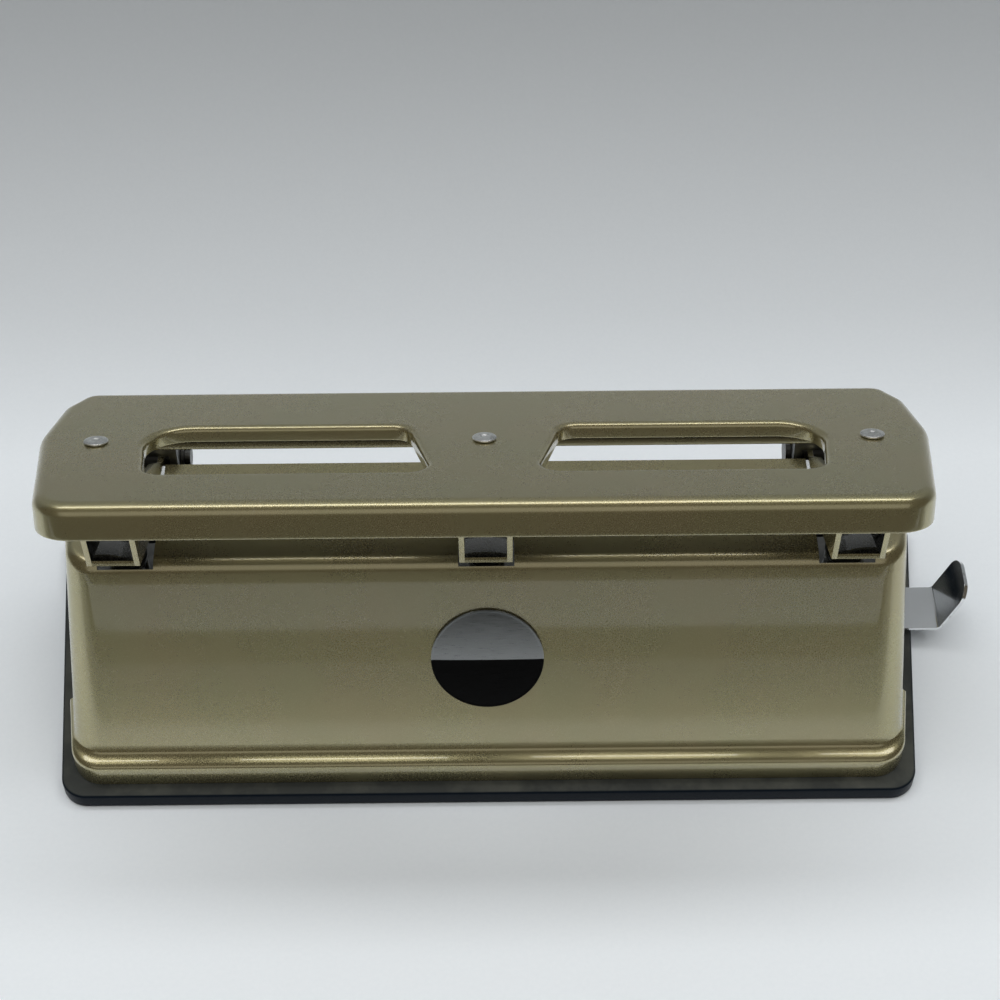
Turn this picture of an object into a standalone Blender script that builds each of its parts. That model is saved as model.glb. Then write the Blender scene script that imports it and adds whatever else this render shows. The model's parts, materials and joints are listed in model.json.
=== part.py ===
"""Three-hole lever punch: a drawn steel cover over three punch heads, worked by a wide riveted handle.

Metres, +Z up. The operator stands at -Y and the paper goes in at +Y. The origin is the middle of the
chip pan's underside. Distances called "depth" are measured back from the front edge of the chip pan.
"""

import math

import bmesh
import bpy
from mathutils import Matrix, Vector

# Clearances
GAP = 0.0003            # left between pieces that touch
RUNNING_FIT = 0.0003    # radial play of a pin in its bore
SIDE_PLAY = 0.0010      # between the guide strip and what it slides in

# Overall sizes
HOLE_SPACING = 0.108
BASE_DEPTH = 0.112
PAN_FRONT_WIDTH = 0.2690
PAN_REAR_WIDTH = 0.2944
HANDLE_WIDTH = 0.250
COVER_HEIGHT = 0.078

# Chip pan
PAN_WALL = 0.0015
PAN_RIM_HEIGHT = 0.006
PAN_HEIGHT = 0.010
PAN_LEDGE = 0.0091
PAN_CORNER = 0.0085

# Bed plate
BED_THICKNESS = 0.0020
BED_MARGIN = 0.0020
PAPER_GAP = 0.0046

# Cover
COVER_SHEET = 0.0012
COVER_LEAN = math.radians(23.0)
COVER_FOOT_DEPTH = 0.0080
COVER_REAR_DEPTH = 0.0755
COVER_FOOT_WIDTH = 0.2594
COVER_TOP_WIDTH = 0.2510
COVER_WIDENING = 0.155
COVER_CORNER = 0.0100
COVER_SHOULDER = 0.0060
COVER_SKIRT_DEPTH = 0.0045
COVER_SKIRT_FLARE = 0.0006
NOTCH_DEPTH = 0.0354
NOTCH_PLAY = 0.0022

# Handle, in the lever's own frame: forward from the hinge, up square to the plate
HANDLE_SHEET = 0.0016
HANDLE_UP = 0.0331
HANDLE_FRONT = 0.1122
HANDLE_REAR = 0.0308
HANDLE_WIDEST = 0.0630
HANDLE_FRONT_WIDTH = HANDLE_WIDTH - 0.0145
HANDLE_REAR_WIDTH = HANDLE_WIDTH - 0.0048
HANDLE_SHOULDER = 0.0400
HANDLE_REAR_EDGE_WIDTH = HANDLE_WIDTH - 0.0156
HANDLE_FLANGE = 0.0100
HANDLE_REAR_FLANGE = 0.0165
HANDLE_BEND = 0.0030
HANDLE_CORNER = 0.0110
SLOT_FRONT = 0.0905
SLOT_REAR = 0.0580
SLOT_OUTER_REAR = 0.0963
SLOT_OUTER_FRONT = 0.0917
SLOT_INNER_REAR = 0.0215
SLOT_INNER_FRONT = 0.0140
SLOT_CORNER = 0.0058
SLOT_OUTER_REAR_CORNER = 0.0120
SLOT_RIM = 0.0045

# Lever arms
LIFT = math.radians(26.0)
HINGE_DEPTH = 0.0840
HINGE_HEIGHT = 0.0720
ARM_WIDTH = 0.0155
ARM_SHEET = 0.0016
ARM_WEB_UP = -0.0070
ARM_WEB_FRONT = 0.0612
ARM_WEB_LENGTH = 0.0250
ARM_BOSS = 0.0070
ARM_BRIDGE_REAR = 0.0580
RIVET_FORWARD = 0.0687
RIVET_HEAD_RADIUS = 0.0033
RIVET_HEAD_HEIGHT = 0.0010
RIVET_SHANK_RADIUS = 0.0020

# Punch heads
HEAD_WIDTH = 0.0240
CHEEK = 0.0025
HEAD_FRONT_DEPTH = 0.0140
HEAD_COLUMN_DEPTH = 0.0270
HEAD_THROAT_DEPTH = 0.0310
HEAD_REAR_DEPTH = 0.0910
HEAD_UPRIGHT_DEPTH = 0.0770
HEAD_GUIDE_HEIGHT = 0.0460
HEAD_TOP = 0.0850
HEAD_FOOT = 0.0060
HEAD_FOOT_THICKNESS = 0.0020
LOWER_GUIDE = 0.0042
UPPER_GUIDE = 0.0030

# Punch pins
PIN_DEPTH = 0.0420
PIN_RADIUS = 0.00355
PIN_DOME_RADIUS = 0.0048
PIN_COLLAR = 0.0016
DIE_RADIUS = 0.0070
DIE_HEIGHT = 0.0050

# Springs
SPRING_RADIUS = 0.0052
SPRING_WIRE = 0.00065
SPRING_TURNS = 6

# Hinge
HINGE_RADIUS = 0.0030
HINGE_HEAD_RADIUS = 0.0046
HINGE_HEAD = 0.0015
HINGE_CLIP = 0.0009

# Badge
BADGE_RADIUS = 0.0173
BADGE_THICKNESS = 0.0008
BADGE_HEIGHT = 0.0472

# Paper stop
STOP_SHEET = 0.0012
STOP_LENGTH = 0.2300
STOP_FOOT_X = 0.0550
STOP_FOOT_WIDTH = 0.0120
STOP_FOOT_LENGTH = 0.0090

# Side guide
GUIDE_NEAR_DEPTH = 0.0600
GUIDE_WIDTH = 0.0170
GUIDE_SHEET = 0.0012
GUIDE_INNER_X = 0.0560
GUIDE_BEND_X = 0.1515
GUIDE_TAB_HEIGHT = 0.0180
GUIDE_TAB_LEAN = math.radians(14.0)
GUIDE_BEND = 0.0016
GUIDE_CLIP_XS = (0.0720, 0.1200)
GUIDE_CLIP_WIDTH = 0.0080

# Screws
SCREW_RADIUS = 0.0015
SCREW_HEAD_RADIUS = 0.0029
SCREW_HEAD = 0.0016
LUG_XS = (-0.0740, -0.0360, 0.0360, 0.0740)
LUG_WIDTH = 0.0100
LUG_THICKNESS = 0.0025
LUG_DEPTH = 0.0190
LUG_REAR_DEPTH = 0.0240

# Worked out from the sizes above
FRONT = -BASE_DEPTH / 2
BED_BOTTOM = PAN_HEIGHT + GAP
BED_TOP = BED_BOTTOM + BED_THICKNESS
ON_BED = BED_TOP + GAP
JAW = BED_TOP + PAPER_GAP
HINGE_Y = FRONT + HINGE_DEPTH
PIN_Y = FRONT + PIN_DEPTH
GUIDE_TOP = BED_BOTTOM - GAP - 0.0004
GUIDE_BOTTOM = GUIDE_TOP - GUIDE_SHEET
ARM_UNDER = ARM_WEB_UP - ARM_SHEET
HEADS = (("left", -HOLE_SPACING), ("middle", 0.0), ("right", HOLE_SPACING))
ROUND = 24


def at_depth(depth):
    """Y of a point this far behind the pan's front edge."""
    return FRONT + depth


def face_y(height, inward=0.0):
    """Y of the cover's sloping front at a height, moved in square to the face."""
    rise = height - ON_BED
    return at_depth(COVER_FOOT_DEPTH) + rise * math.tan(COVER_LEAN) + inward / math.cos(COVER_LEAN)


# Tools


def clear_scene():
    for obj in list(bpy.data.objects):
        bpy.data.objects.remove(obj, do_unlink=True)


def finish_named(name, colour, roughness, metallic):
    material = bpy.data.materials.new(name)
    material.use_nodes = True
    shader = material.node_tree.nodes["Principled BSDF"]
    shader.inputs["Base Color"].default_value = (*colour, 1.0)
    shader.inputs["Roughness"].default_value = roughness
    shader.inputs["Metallic"].default_value = metallic
    return material


def object_from(bm, name, material, sharp=35.0):
    """A linked object that takes the bmesh, its faces turned outward and its round sides smooth."""
    bmesh.ops.recalc_face_normals(bm, faces=bm.faces)
    mesh = bpy.data.meshes.new(name)
    bm.to_mesh(mesh)
    bm.free()
    mesh.shade_smooth()
    mesh.set_sharp_from_angle(angle=math.radians(sharp))
    if material:
        mesh.materials.append(material)
    obj = bpy.data.objects.new(name, mesh)
    bpy.context.scene.collection.objects.link(obj)
    return obj


def rounded_outline(corners, radii, inset=0.0, steps=5):
    """A counter-clockwise convex outline moved in by inset, each corner an arc of its own radius."""
    points = [Vector(corner) for corner in corners]
    outline = []
    for index, point in enumerate(points):
        into = (point - points[index - 1]).normalized()
        out = (points[(index + 1) % len(points)] - point).normalized()
        normals = Vector((-into.y, into.x)), Vector((-out.y, out.x))
        corner = point + (normals[0] + normals[1]) * (inset / (1 + normals[0].dot(normals[1])))
        radius = max(radii[index] - inset, 0.0004)
        turn = math.atan2(into.cross(out), into.dot(out))
        reach = radius * math.tan(turn / 2)
        centre = corner - into * reach + normals[0] * radius
        for step in range(steps + 1):
            arm = Matrix.Rotation(turn * step / steps, 2) @ -normals[0]
            outline.append(centre + arm * radius)
    return outline


def loft(name, rings, material):
    """A closed solid through rings of equal length, its first and last ring capped."""
    bm = bmesh.new()
    loops = [[bm.verts.new(point) for point in ring] for ring in rings]
    count = len(loops[0])
    for low, high in zip(loops, loops[1:]):
        for index in range(count):
            after = (index + 1) % count
            bm.faces.new((low[index], low[after], high[after], high[index]))
    bm.faces.new(loops[0])
    bm.faces.new(loops[-1])
    return object_from(bm, name, material)


def prism(name, outline, axis, low, high, material=None):
    """An outline extruded along an axis: (y, z) along X, (x, z) along Y, (x, y) along Z."""
    place = {
        "X": lambda a, b: (low, a, b),
        "Y": lambda a, b: (a, low, b),
        "Z": lambda a, b: (a, b, low),
    }[axis]
    step = Vector([(high - low) * (letter == axis) for letter in "XYZ"])
    bm = bmesh.new()
    face = bm.faces.new([bm.verts.new(place(*point)) for point in outline])
    grown = bmesh.ops.extrude_face_region(bm, geom=[face])["geom"]
    bmesh.ops.translate(bm, vec=step, verts=[item for item in grown if isinstance(item, bmesh.types.BMVert)])
    return object_from(bm, name, material)


def block(name, low, high, material=None):
    outline = ((low[0], low[1]), (high[0], low[1]), (high[0], high[1]), (low[0], high[1]))
    return prism(name, outline, "Z", low[2], high[2], material)


def turned(name, profile, material=None, place=(0, 0, 0), axis="Z", segments=ROUND):
    """A (radius, height) profile spun about an axis. A profile clear of the axis makes a ring."""
    bm = bmesh.new()
    points = [bm.verts.new((radius, 0, height)) for radius, height in profile]
    edges = [bm.edges.new(pair) for pair in zip(points, points[1:])]
    if profile[0][0] > 0:
        edges.append(bm.edges.new((points[-1], points[0])))
    bmesh.ops.spin(bm, geom=points + edges, axis=(0, 0, 1), cent=(0, 0, 0), angle=math.tau,
                   steps=segments, use_merge=True)
    bmesh.ops.remove_doubles(bm, verts=bm.verts, dist=1e-6)
    if axis == "X":
        bmesh.ops.rotate(bm, verts=bm.verts, matrix=Matrix.Rotation(math.pi / 2, 3, "Y"))
    bmesh.ops.translate(bm, verts=bm.verts, vec=Vector(place))
    return object_from(bm, name, material)


def rod(name, radius, low, high, material=None, place=(0, 0, 0), axis="Z", segments=ROUND):
    return turned(name, ((0, low), (radius, low), (radius, high), (0, high)), material, place, axis, segments)


def combine(target, tools, operation):
    """Adds a Boolean per tool, and leaves the tools out of the model."""
    for tool in tools:
        modifier = target.modifiers.new(tool.name, "BOOLEAN")
        modifier.operation = operation
        modifier.object = tool
        tool.hide_render = True
        tool.display_type = "WIRE"


def join(target, *tools):
    combine(target, tools, "UNION")


def cut(target, *tools):
    combine(target, tools, "DIFFERENCE")


# Finishes

CHAMPAGNE = finish_named("champagne_paint", (0.26, 0.235, 0.13), 0.38, 0.35)
BLACK_PLASTIC = finish_named("pan_plastic", (0.022, 0.026, 0.032), 0.5, 0.0)
STEEL = finish_named("plain_steel", (0.36, 0.36, 0.35), 0.35, 1.0)
HEAD_STEEL = finish_named("head_steel", (0.22, 0.225, 0.22), 0.42, 0.9)
CHROME = finish_named("chrome", (0.72, 0.73, 0.74), 0.08, 1.0)
BADGE_FINISH = finish_named("badge", (0.10, 0.10, 0.10), 0.3, 0.6)


# Base


def pan_outline(inset):
    front = PAN_FRONT_WIDTH / 2
    rear = PAN_REAR_WIDTH / 2
    corners = ((-front, FRONT), (front, FRONT), (rear, -FRONT), (-rear, -FRONT))
    return rounded_outline(corners, (PAN_CORNER,) * 4, inset)


def chip_pan():
    """Open tray: a low outer wall, a ledge, and an inner rim that the bed plate rests on."""
    inner = PAN_LEDGE + PAN_WALL
    levels = (
        (0.0006, 0.0),
        (0.0, 0.0006),
        (0.0, PAN_RIM_HEIGHT - 0.0006),
        (0.0006, PAN_RIM_HEIGHT),
        (PAN_LEDGE, PAN_RIM_HEIGHT),
        (PAN_LEDGE, PAN_HEIGHT),
        (inner, PAN_HEIGHT),
        (inner, PAN_WALL),
    )
    rings = [[(x, y, z) for x, y in pan_outline(inset)] for inset, z in levels]
    pan = loft("chip_pan", rings, BLACK_PLASTIC)
    slot = block(
        "cut_guide_slot",
        (PAN_FRONT_WIDTH / 2 - inner - 0.006, at_depth(GUIDE_NEAR_DEPTH) - SIDE_PLAY, GUIDE_BOTTOM - 0.0005),
        (PAN_REAR_WIDTH / 2, at_depth(GUIDE_NEAR_DEPTH) + GUIDE_WIDTH + SIDE_PLAY, PAN_HEIGHT + 0.001),
    )
    cut(pan, slot)


def head_rivet_places():
    """(side name, x, y) of the two rivets of each punch head."""
    reach = HEAD_WIDTH / 2 + HEAD_FOOT / 2
    y = at_depth((HEAD_FRONT_DEPTH + HEAD_COLUMN_DEPTH) / 2)
    return [(f"{side}_{end}", x + sign * reach, y)
            for side, x in HEADS for end, sign in (("a", -1), ("b", 1))]


def stop_screw_places():
    return [("left", -STOP_FOOT_X), ("right", STOP_FOOT_X)]


def bed_plate():
    inset = PAN_LEDGE + BED_MARGIN * 0.2
    bed = loft("bed_plate", [[(x, y, z) for x, y in pan_outline(inset)] for z in (BED_BOTTOM, BED_TOP)], STEEL)
    low, high = BED_BOTTOM - 0.001, BED_TOP + 0.001
    for side, x in HEADS:
        cut(bed, rod(f"cut_die_{side}", DIE_RADIUS + GAP, low, high, place=(x, PIN_Y, 0)))
    for place, x, y in head_rivet_places():
        cut(bed, rod(f"cut_bed_rivet_{place}", RIVET_SHANK_RADIUS + GAP, low, high, place=(x, y, 0), segments=12))
    for index, x in enumerate(LUG_XS):
        place = (x, at_depth(LUG_DEPTH), 0)
        cut(bed, rod(f"cut_bed_screw_{index}", SCREW_RADIUS + GAP, low, high, place=place, segments=12))
    for side, x in stop_screw_places():
        place = (x, stop_screw_y(), 0)
        cut(bed, rod(f"cut_stop_screw_{side}", SCREW_RADIUS + GAP, low, high, place=place, segments=12))


def die_bush(side, x):
    bore = PIN_RADIUS + 0.0001
    low = BED_TOP - DIE_HEIGHT
    profile = ((bore, BED_TOP), (DIE_RADIUS, BED_TOP), (DIE_RADIUS, low), (bore, low))
    turned(f"die_bush_{side}", profile, STEEL, (x, PIN_Y, 0))


# Punch heads


def cheek_outline():
    """(y, z) side view of a head: a column in front, the throat behind it, and the hinge post."""
    column_top = HEAD_GUIDE_HEIGHT - 0.004
    points = (
        (HEAD_FRONT_DEPTH, ON_BED),
        (HEAD_THROAT_DEPTH, ON_BED),
        (HEAD_THROAT_DEPTH, JAW),
        (HEAD_REAR_DEPTH - 0.005, JAW),
        (HEAD_REAR_DEPTH, JAW + 0.005),
        (HEAD_REAR_DEPTH, HEAD_TOP - 0.003),
        (HEAD_REAR_DEPTH - 0.003, HEAD_TOP),
        (HEAD_UPRIGHT_DEPTH + 0.003, HEAD_TOP),
        (HEAD_UPRIGHT_DEPTH + 0.0009, HEAD_TOP - 0.0009),
        (HEAD_UPRIGHT_DEPTH, HEAD_TOP - 0.003),
        (HEAD_UPRIGHT_DEPTH, HEAD_GUIDE_HEIGHT + 0.012),
        (HEAD_UPRIGHT_DEPTH - 0.010, HEAD_GUIDE_HEIGHT),
        (HEAD_COLUMN_DEPTH + 0.002, HEAD_GUIDE_HEIGHT),
        (HEAD_COLUMN_DEPTH - 0.001, column_top),
    )
    return [(at_depth(depth), z) for depth, z in points]


def punch_head(side, x):
    """One C-frame: two cheeks, a guide plate below and above, a strap over the arm, and two feet."""
    inner = HEAD_WIDTH / 2 - CHEEK
    outer = HEAD_WIDTH / 2
    tie = inner + CHEEK / 2
    head = prism(f"punch_head_{side}", cheek_outline(), "X", x - outer, x - inner, HEAD_STEEL)
    front, rear = PIN_Y - 0.0105, PIN_Y + 0.0100
    post = at_depth(HEAD_UPRIGHT_DEPTH)
    foot_front, foot_rear = at_depth(HEAD_FRONT_DEPTH) + 0.001, at_depth(HEAD_COLUMN_DEPTH)
    foot_top = ON_BED + HEAD_FOOT_THICKNESS
    join(
        head,
        prism(f"add_cheek_{side}", cheek_outline(), "X", x + inner, x + outer),
        block(f"add_lower_guide_{side}", (x - tie, front, JAW), (x + tie, rear, JAW + LOWER_GUIDE)),
        block(f"add_upper_guide_{side}", (x - tie, front, HEAD_GUIDE_HEIGHT - UPPER_GUIDE),
              (x + tie, rear, HEAD_GUIDE_HEIGHT)),
        block(f"add_strap_{side}", (x - tie, post, HEAD_TOP - 0.0050), (x + tie, post + CHEEK, HEAD_TOP - 0.0006)),
        block(f"add_tie_{side}", (x - tie, at_depth(HEAD_REAR_DEPTH) - CHEEK, JAW + 0.006),
              (x + tie, at_depth(HEAD_REAR_DEPTH), JAW + 0.016)),
        block(f"add_foot_a_{side}", (x - outer - HEAD_FOOT, foot_front, ON_BED),
              (x - tie, foot_rear, foot_top)),
        block(f"add_foot_b_{side}", (x + tie, foot_front, ON_BED),
              (x + outer + HEAD_FOOT, foot_rear, foot_top)),
    )
    hinge_place = (x, HINGE_Y, HINGE_HEIGHT)
    cut(
        head,
        rod(f"cut_bore_{side}", PIN_RADIUS + RUNNING_FIT, JAW - 0.001, HEAD_GUIDE_HEIGHT + 0.001,
            place=(x, PIN_Y, 0)),
        rod(f"cut_hinge_{side}", HINGE_RADIUS + RUNNING_FIT, -outer - 0.001, outer + 0.001,
            place=hinge_place, axis="X"),
    )
    for place, rivet_x, y in head_rivet_places():
        if place.startswith(side):
            cut(head, rod(f"cut_foot_{place}", RIVET_SHANK_RADIUS + GAP, ON_BED - 0.001, foot_top + 0.001,
                          place=(rivet_x, y, 0), segments=12))


def head_rivet(place, x, y):
    """Clinched over the bed plate below and over the head's foot above."""
    foot = ON_BED + HEAD_FOOT_THICKNESS + GAP
    under = BED_BOTTOM - GAP
    profile = (
        (0, under - 0.0012),
        (0.0024, under - 0.0012),
        (0.0027, under),
        (RIVET_SHANK_RADIUS, under),
        (RIVET_SHANK_RADIUS, foot),
        (0.0029, foot),
        (0.0024, foot + 0.0012),
        (0, foot + 0.0016),
    )
    turned(f"head_rivet_{place}", profile, STEEL, (x, y, 0), segments=16)


# Punch pins and springs


def web_height(y, lift=LIFT):
    """Height of the arm web's underside over a point, with the handle raised by lift."""
    back = HINGE_Y - y + ARM_UNDER * math.sin(lift)
    forward = back / math.cos(lift)
    return HINGE_HEIGHT + forward * math.sin(lift) + ARM_UNDER * math.cos(lift)


def dome_centre():
    """Height of the dome's centre, so that the raised web just clears the dome."""
    return web_height(PIN_Y) - (PIN_DOME_RADIUS + GAP) / math.cos(LIFT)


def punch_pin(side, x):
    centre = dome_centre()
    collar = centre - PIN_COLLAR
    profile = [(0, JAW + 0.0003), (PIN_RADIUS, JAW + 0.0003), (PIN_RADIUS, collar), (PIN_DOME_RADIUS, collar)]
    steps = 6
    for step in range(steps + 1):
        angle = math.pi / 2 * step / steps
        profile.append((PIN_DOME_RADIUS * math.cos(angle), centre + PIN_DOME_RADIUS * math.sin(angle)))
    profile[-1] = (0, centre + PIN_DOME_RADIUS)
    turned(f"punch_pin_{side}", profile, STEEL, (x, PIN_Y, 0), segments=20)


def spring_clip(side, x):
    """Washer under the pin's collar that the spring pushes on."""
    top = dome_centre() - PIN_COLLAR - GAP
    inner = PIN_RADIUS + GAP
    outer = SPRING_RADIUS + SPRING_WIRE
    profile = ((inner, top), (outer, top), (outer, top - 0.0008), (inner, top - 0.0008))
    turned(f"spring_clip_{side}", profile, STEEL, (x, PIN_Y, 0), segments=20)


def return_spring(side, x):
    low = HEAD_GUIDE_HEIGHT + GAP + SPRING_WIRE
    high = dome_centre() - PIN_COLLAR - GAP - 0.0008 - GAP - SPRING_WIRE
    per_turn = 12
    count = SPRING_TURNS * per_turn
    curve = bpy.data.curves.new(f"return_spring_{side}", "CURVE")
    curve.dimensions = "3D"
    curve.bevel_depth = SPRING_WIRE
    curve.bevel_resolution = 1
    curve.use_fill_caps = True
    spline = curve.splines.new("POLY")
    spline.points.add(count)
    for index in range(count + 1):
        angle = math.tau * index / per_turn
        height = low + (high - low) * index / count
        spline.points[index].co = (SPRING_RADIUS * math.cos(angle), SPRING_RADIUS * math.sin(angle), height, 1)
    curve.materials.append(STEEL)
    spring = bpy.data.objects.new(f"return_spring_{side}", curve)
    spring.location = (x, PIN_Y, 0)
    bpy.context.scene.collection.objects.link(spring)


# Lever


def lever_empty():
    """Everything on the lever hangs from this: local -Y is forward, local Z is square to the handle."""
    empty = bpy.data.objects.new("lever_hinge", None)
    empty.location = (0, HINGE_Y, HINGE_HEIGHT)
    empty.rotation_euler = (-LIFT, 0, 0)
    bpy.context.scene.collection.objects.link(empty)
    return empty


def hang(empty, objects):
    for obj in objects:
        obj.parent = empty


def arm_outline():
    """(local y, z) of an arm's cheek: a tall front under the handle that tapers to the hinge boss."""
    top = HANDLE_UP - HANDLE_SHEET - GAP
    lean = (top - ARM_UNDER) * math.tan(LIFT)
    points = [
        (ARM_WEB_FRONT, ARM_UNDER),
        (ARM_WEB_FRONT + lean, top),
        (ARM_BRIDGE_REAR, top),
        (0.0430, 0.0125),
        (0.0260, 0.0085),
        (0.0115, 0.0030),
    ]
    for step in range(9):
        angle = math.radians(60 + 210 * step / 8)
        points.append((ARM_BOSS * math.cos(angle), ARM_BOSS * math.sin(angle)))
    points.append((0.0100, ARM_UNDER))
    return [(-forward, up) for forward, up in points]


def lever_arm(side, x):
    """Folded channel: two cheeks, a web below that pushes the pin, and a bridge under the handle."""
    outer = ARM_WIDTH / 2
    inner = outer - ARM_SHEET
    tie = outer - ARM_SHEET / 2
    top = HANDLE_UP - HANDLE_SHEET - GAP
    arm = prism(f"lever_arm_{side}", arm_outline(), "X", x - outer, x - inner, CHAMPAGNE)
    lean = (top - ARM_UNDER) * math.tan(LIFT)
    other = prism(f"add_arm_{side}", arm_outline(), "X", x + inner, x + outer)
    web = block(f"add_web_{side}", (x - tie, -ARM_WEB_FRONT, ARM_UNDER),
                (x + tie, -ARM_WEB_FRONT + ARM_WEB_LENGTH, ARM_WEB_UP))
    bridge = block(f"add_bridge_{side}", (x - tie, -ARM_WEB_FRONT - lean + 0.004, top - ARM_SHEET),
                   (x + tie, -ARM_BRIDGE_REAR, top))
    join(arm, other, web, bridge)
    hinge = rod(f"cut_arm_hinge_{side}", HINGE_RADIUS + RUNNING_FIT, -outer - 0.001, outer + 0.001,
                place=(x, 0, 0), axis="X")
    rivet = rod(f"cut_arm_rivet_{side}", RIVET_SHANK_RADIUS + GAP, top - 0.003, top + 0.001,
                place=(x, -RIVET_FORWARD, 0), segments=16)
    cut(arm, hinge, rivet)
    return [arm, other, web, bridge, hinge, rivet]


def handle_outline(inset):
    """The handle's plan: sides that widen to the middle, then draw in to clipped rear corners."""
    front, widest = HANDLE_FRONT_WIDTH / 2, HANDLE_WIDTH / 2
    shoulder, rear = HANDLE_REAR_WIDTH / 2, HANDLE_REAR_EDGE_WIDTH / 2
    corners = (
        (-front, -HANDLE_FRONT),
        (front, -HANDLE_FRONT),
        (widest, -HANDLE_WIDEST),
        (shoulder, -HANDLE_SHOULDER),
        (rear, -HANDLE_REAR),
        (-rear, -HANDLE_REAR),
        (-shoulder, -HANDLE_SHOULDER),
        (-widest, -HANDLE_WIDEST),
    )
    radii = (HANDLE_CORNER, HANDLE_CORNER, 0.010, 0.006, 0.005, 0.005, 0.006, 0.010)
    return rounded_outline(corners, radii, inset, 4)


def handle_rings(inset, top, bend):
    """Rings of the plate's outside or inside: the flange, the bend, and the flat top."""
    rings = []
    steps = 4
    for step in range(steps + 1):
        angle = math.pi / 2 * step / steps
        inward = inset + bend * (1 - math.cos(angle))
        rings.append([(x, y, top - bend + bend * math.sin(angle)) for x, y in handle_outline(inward)])
    return rings


def slot_outline(sign, inset=0.0):
    corners = [
        (sign * SLOT_OUTER_FRONT, -SLOT_FRONT),
        (sign * SLOT_INNER_FRONT, -SLOT_FRONT),
        (sign * SLOT_INNER_REAR, -SLOT_REAR),
        (sign * SLOT_OUTER_REAR, -SLOT_REAR),
    ]
    radii = [SLOT_CORNER, SLOT_CORNER, SLOT_CORNER, SLOT_OUTER_REAR_CORNER]
    if sign > 0:
        corners.reverse()
        radii.reverse()
    return rounded_outline(corners, radii, inset)


def handle_plate():
    """Pressed plate with a flange all round, and a turned-down rim round each opening."""
    bottom = HANDLE_UP - HANDLE_REAR_FLANGE
    outside = handle_rings(0.0, HANDLE_UP, HANDLE_BEND)
    foot = [(x, y, bottom) for x, y in handle_outline(0.0)]
    plate = loft("handle_plate", [foot, *outside], CHAMPAGNE)
    inside = handle_rings(HANDLE_SHEET, HANDLE_UP - HANDLE_SHEET, HANDLE_BEND - HANDLE_SHEET)
    below = [(x, y, bottom - 0.002) for x, y in handle_outline(HANDLE_SHEET)]
    hollow = loft("cut_handle_hollow", [below, *inside], None)
    cut(plate, hollow)
    hem = HANDLE_UP - HANDLE_FLANGE
    past = HANDLE_FRONT + 0.01
    trim_line = ((-past, bottom - 0.001), (-HANDLE_SHOULDER, bottom - 0.001), (-HANDLE_SHOULDER, bottom),
                 (-HANDLE_WIDEST, hem), (-past, hem))
    trim = prism("cut_flange_trim", trim_line, "X", -HANDLE_WIDTH, HANDLE_WIDTH)
    cut(plate, trim)
    parts = [plate, hollow, trim]
    for side, sign in (("left", -1), ("right", 1)):
        rim = prism(f"add_slot_rim_{side}", slot_outline(sign, -HANDLE_SHEET), "Z",
                    HANDLE_UP - SLOT_RIM, HANDLE_UP - HANDLE_SHEET / 2)
        join(plate, rim)
        parts.append(rim)
    for side, sign in (("left", -1), ("right", 1)):
        opening = prism(f"cut_slot_{side}", slot_outline(sign), "Z", HANDLE_UP - 0.02, HANDLE_UP + 0.002)
        cut(plate, opening)
        parts.append(opening)
    for side, x in HEADS:
        hole = rod(f"cut_handle_rivet_{side}", RIVET_SHANK_RADIUS + GAP, HANDLE_UP - 0.004, HANDLE_UP + 0.001,
                   place=(x, -RIVET_FORWARD, 0), segments=16)
        cut(plate, hole)
        parts.append(hole)
    return parts


def handle_rivet(side, x):
    """Domed head on the plate, and a clinched foot under the arm's bridge."""
    seat = HANDLE_UP + GAP
    under = HANDLE_UP - HANDLE_SHEET - GAP - ARM_SHEET - GAP
    profile = (
        (0, under - 0.0012),
        (0.0026, under - 0.0012),
        (0.0030, under),
        (RIVET_SHANK_RADIUS, under),
        (RIVET_SHANK_RADIUS, seat),
        (RIVET_HEAD_RADIUS, seat),
        (RIVET_HEAD_RADIUS * 0.93, seat + RIVET_HEAD_HEIGHT * 0.5),
        (RIVET_HEAD_RADIUS * 0.7, seat + RIVET_HEAD_HEIGHT * 0.85),
        (0, seat + RIVET_HEAD_HEIGHT),
    )
    return turned(f"handle_rivet_{side}", profile, STEEL, (x, -RIVET_FORWARD, 0), segments=20)


# Hinge


def hinge_pin(side, x):
    reach = HEAD_WIDTH / 2
    profile = (
        (0, -reach - GAP - HINGE_HEAD),
        (HINGE_HEAD_RADIUS, -reach - GAP - HINGE_HEAD),
        (HINGE_HEAD_RADIUS, -reach - GAP),
        (HINGE_RADIUS, -reach - GAP),
        (HINGE_RADIUS, reach + 0.0030),
        (0, reach + 0.0030),
    )
    turned(f"hinge_pin_{side}", profile, STEEL, (x, HINGE_Y, HINGE_HEIGHT), "X", 20)


def hinge_clip(side, x):
    start = HEAD_WIDTH / 2 + GAP
    inner = HINGE_RADIUS + GAP
    profile = (
        (inner, start),
        (HINGE_HEAD_RADIUS, start),
        (HINGE_HEAD_RADIUS, start + HINGE_CLIP),
        (inner, start + HINGE_CLIP),
    )
    turned(f"hinge_clip_{side}", profile, STEEL, (x, HINGE_Y, HINGE_HEIGHT), "X", 20)


def hinge_sleeve(side, x):
    """Spacer tube between the arm's cheeks."""
    reach = ARM_WIDTH / 2 - ARM_SHEET - GAP
    inner = HINGE_RADIUS + RUNNING_FIT
    outer = HINGE_HEAD_RADIUS
    profile = ((inner, -reach), (outer, -reach), (outer, reach), (inner, reach))
    turned(f"hinge_sleeve_{side}", profile, STEEL, (x, HINGE_Y, HINGE_HEIGHT), "X", 20)


# Cover and badge


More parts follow.
